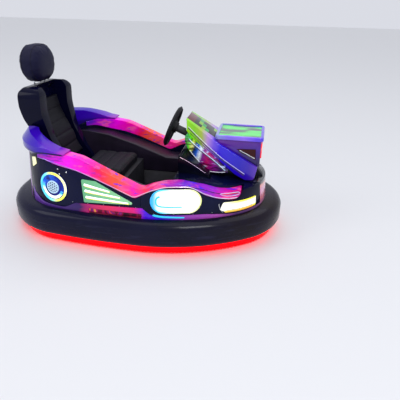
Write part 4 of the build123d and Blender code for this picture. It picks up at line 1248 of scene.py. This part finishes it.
# Painted light and shade: the violet lightens towards the pod's top and darkens towards its foot and
# front, and it glows faintly as painted light.
pod_drift = pod.noise(7.0, 3.0)
pod_colour_and_shade = pod.ramp(
    pod.z + (pod_drift - 0.5) * 0.06 - pod.x * 0.15, 0.42, 0.60,
    [(0.0, "200c50"), (0.4, "3c108c"), (0.75, "5c1890"), (1.0, "7c28b0")],
)
pod.bump(pod_drift, 0.001, 0.1)
pod.glow(pod_colour_and_shade, roughness=0.15 + pod_drift * 0.1)
finished("pod_body", pod, bevel=0.002, smooth=30)
# The rim glows faintly as painted light.
pod_edge = Paint("pod rim pearl", coat_weight=1.0, coat_roughness=0.05, emission_strength=0.12)
rim_drift = pod_edge.noise(8.0, 3.0)
pod_edge_colour = pod_edge.ramp(
    pod_edge.x + (rim_drift - 0.5) * 0.08, 0.46, 0.78,
    [(0.0, "7c94c8"), (0.3, "7458e0"), (0.6, "8460e8"), (0.85, "5430e0"), (1.0, "3c18d0")],
)
pod_edge.glow(pod_edge_colour, roughness=0.14 + rim_drift * 0.1)
finished("pod_rim", pod_edge, bevel=0.0055, segments=4, smooth=30)
# The glass glows faintly as painted light.
glass = Paint("pod green glass", coat_weight=1.0, coat_roughness=0.03, emission_strength=0.25)
glass_turned = glass.add("ShaderNodeMapping", {}, glass.place, None, (0, 0, 0.6), (1, 2.6, 1))
glass_flow = glass.add("ShaderNodeTexNoise", {}, glass_turned, scale=5.5, detail=1.0)
glass_fine = glass.add("ShaderNodeTexNoise", {}, glass_turned, scale=18.0, detail=3.0)
glass_colour = glass.ramp(
    glass_flow * 0.85 + glass_fine * 0.15, 0.38, 0.62,
    [(0.0, "0c3428"), (0.35, "146048"), (0.5, "0a8030"), (0.68, "04c030"), (1.0, "20e040")],
)
glass.glow(glass_colour, roughness=0.07 + glass_fine * 0.06)
finished("pod_top", glass, bevel=0.0)
pod_skin = surface_of("pod_body")
window_paint = mottled("pod window", "1c060a", "4a1018", 14.0, 2.0, roughness=0.2, specular_ior_level=0.2)
window_proud, window_thick = 0.0012, 0.0025
window_corners = ((0.605, 0.598), (0.7255, 0.6035), (0.7285, 0.5335))
work = bmesh.new()
for side in (-1, 1):
    front = [on_flank(pod_skin, x, z, window_proud, side) for x, z in window_corners]
    back = [point + Vector((0, -side * window_thick, 0)) for point in front]
    rings = [[work.verts.new(p) for p in ring] for ring in (back, front)]
    work.faces.new(rings[0][::-1])
    work.faces.new(rings[1])
    join_rings(work, rings)
bmesh.ops.recalc_face_normals(work, faces=work.faces)
settle(shaped("pod_window_glass", work), window_paint, "pod_body")
flank_bead(
    "pod_window_bar", [(0.625, 0.5920), (0.675, 0.5680), (0.722, 0.5450)], 0.0022, pin_white, "pod_body",
    proud=0.0068, between=3,
)
flank_bead(
    "pod_window_bar_dark", [(0.620, 0.5880), (0.667, 0.5650), (0.718, 0.5400)], 0.0034, pin_black,
    "pod_body", proud=0.0062, between=3,
)
bar_paint = Paint("red light bar", roughness=0.15, coat_weight=1.0, emission_strength=0.9)
bar_glow = bar_paint.noise(40.0, 2.0, (1, 1, 0.3))
bar_colour = bar_paint.ramp(bar_glow, 0.3, 0.7, [(0.0, "7c0a10"), (0.6, "f01c28"), (1.0, "ff8a7c")])
bar_paint.glow(bar_colour)
finished("light_bars", bar_paint, bevel=0.001)

# Steering column and wheel
# A grained black wheel on a column that goes into the console. Soft grip is moulded
# round the rim and its three spokes, and six screws sit round the middle.
grip = Paint("soft grip", specular_ior_level=0.2)
grip_worn = grip.noise(11.0, 4.0)
grip.bump(grip.grain(520.0), 0.0004, 0.5)
grip.feed(
    base_color=grip.mix(grip_worn.above(0.55, 0.12), "111116", "1e1e25"), roughness=0.46 + grip_worn * 0.2
)
finished("steering_wheel", grip, bevel=0.003, segments=3, smooth=44)
finished("steering_column", coat, bevel=0.001)
wheel_lean, wheel_screw_ring = 22, 0.025
wheel_place = Matrix.Translation((0.168, 0, 0.678)) @ Matrix.Rotation(radians(wheel_lean - 90), 4, "Y")
for i, (x, y) in enumerate(circle(wheel_screw_ring, 6, 0.5)):
    rows = [(0.0032, 0), (0.0032, 0.0014), (0.0024, 0.0020), (0.0012, 0.0012), (0, 0.0012)]
    screw = turned_part("wheel_screw_" + str(i), rows, 12)
    screw.data.transform(wheel_place @ Matrix.Translation((x, y, 0)))
    settle(screw, steel, "steering_wheel")

# Pedal
# A sloping steel plate on a foot, for the driver's right foot, in the same powder coat
# as the chassis. It stands on the floor of the tub.
finished("pedal", coat, bevel=0.001)
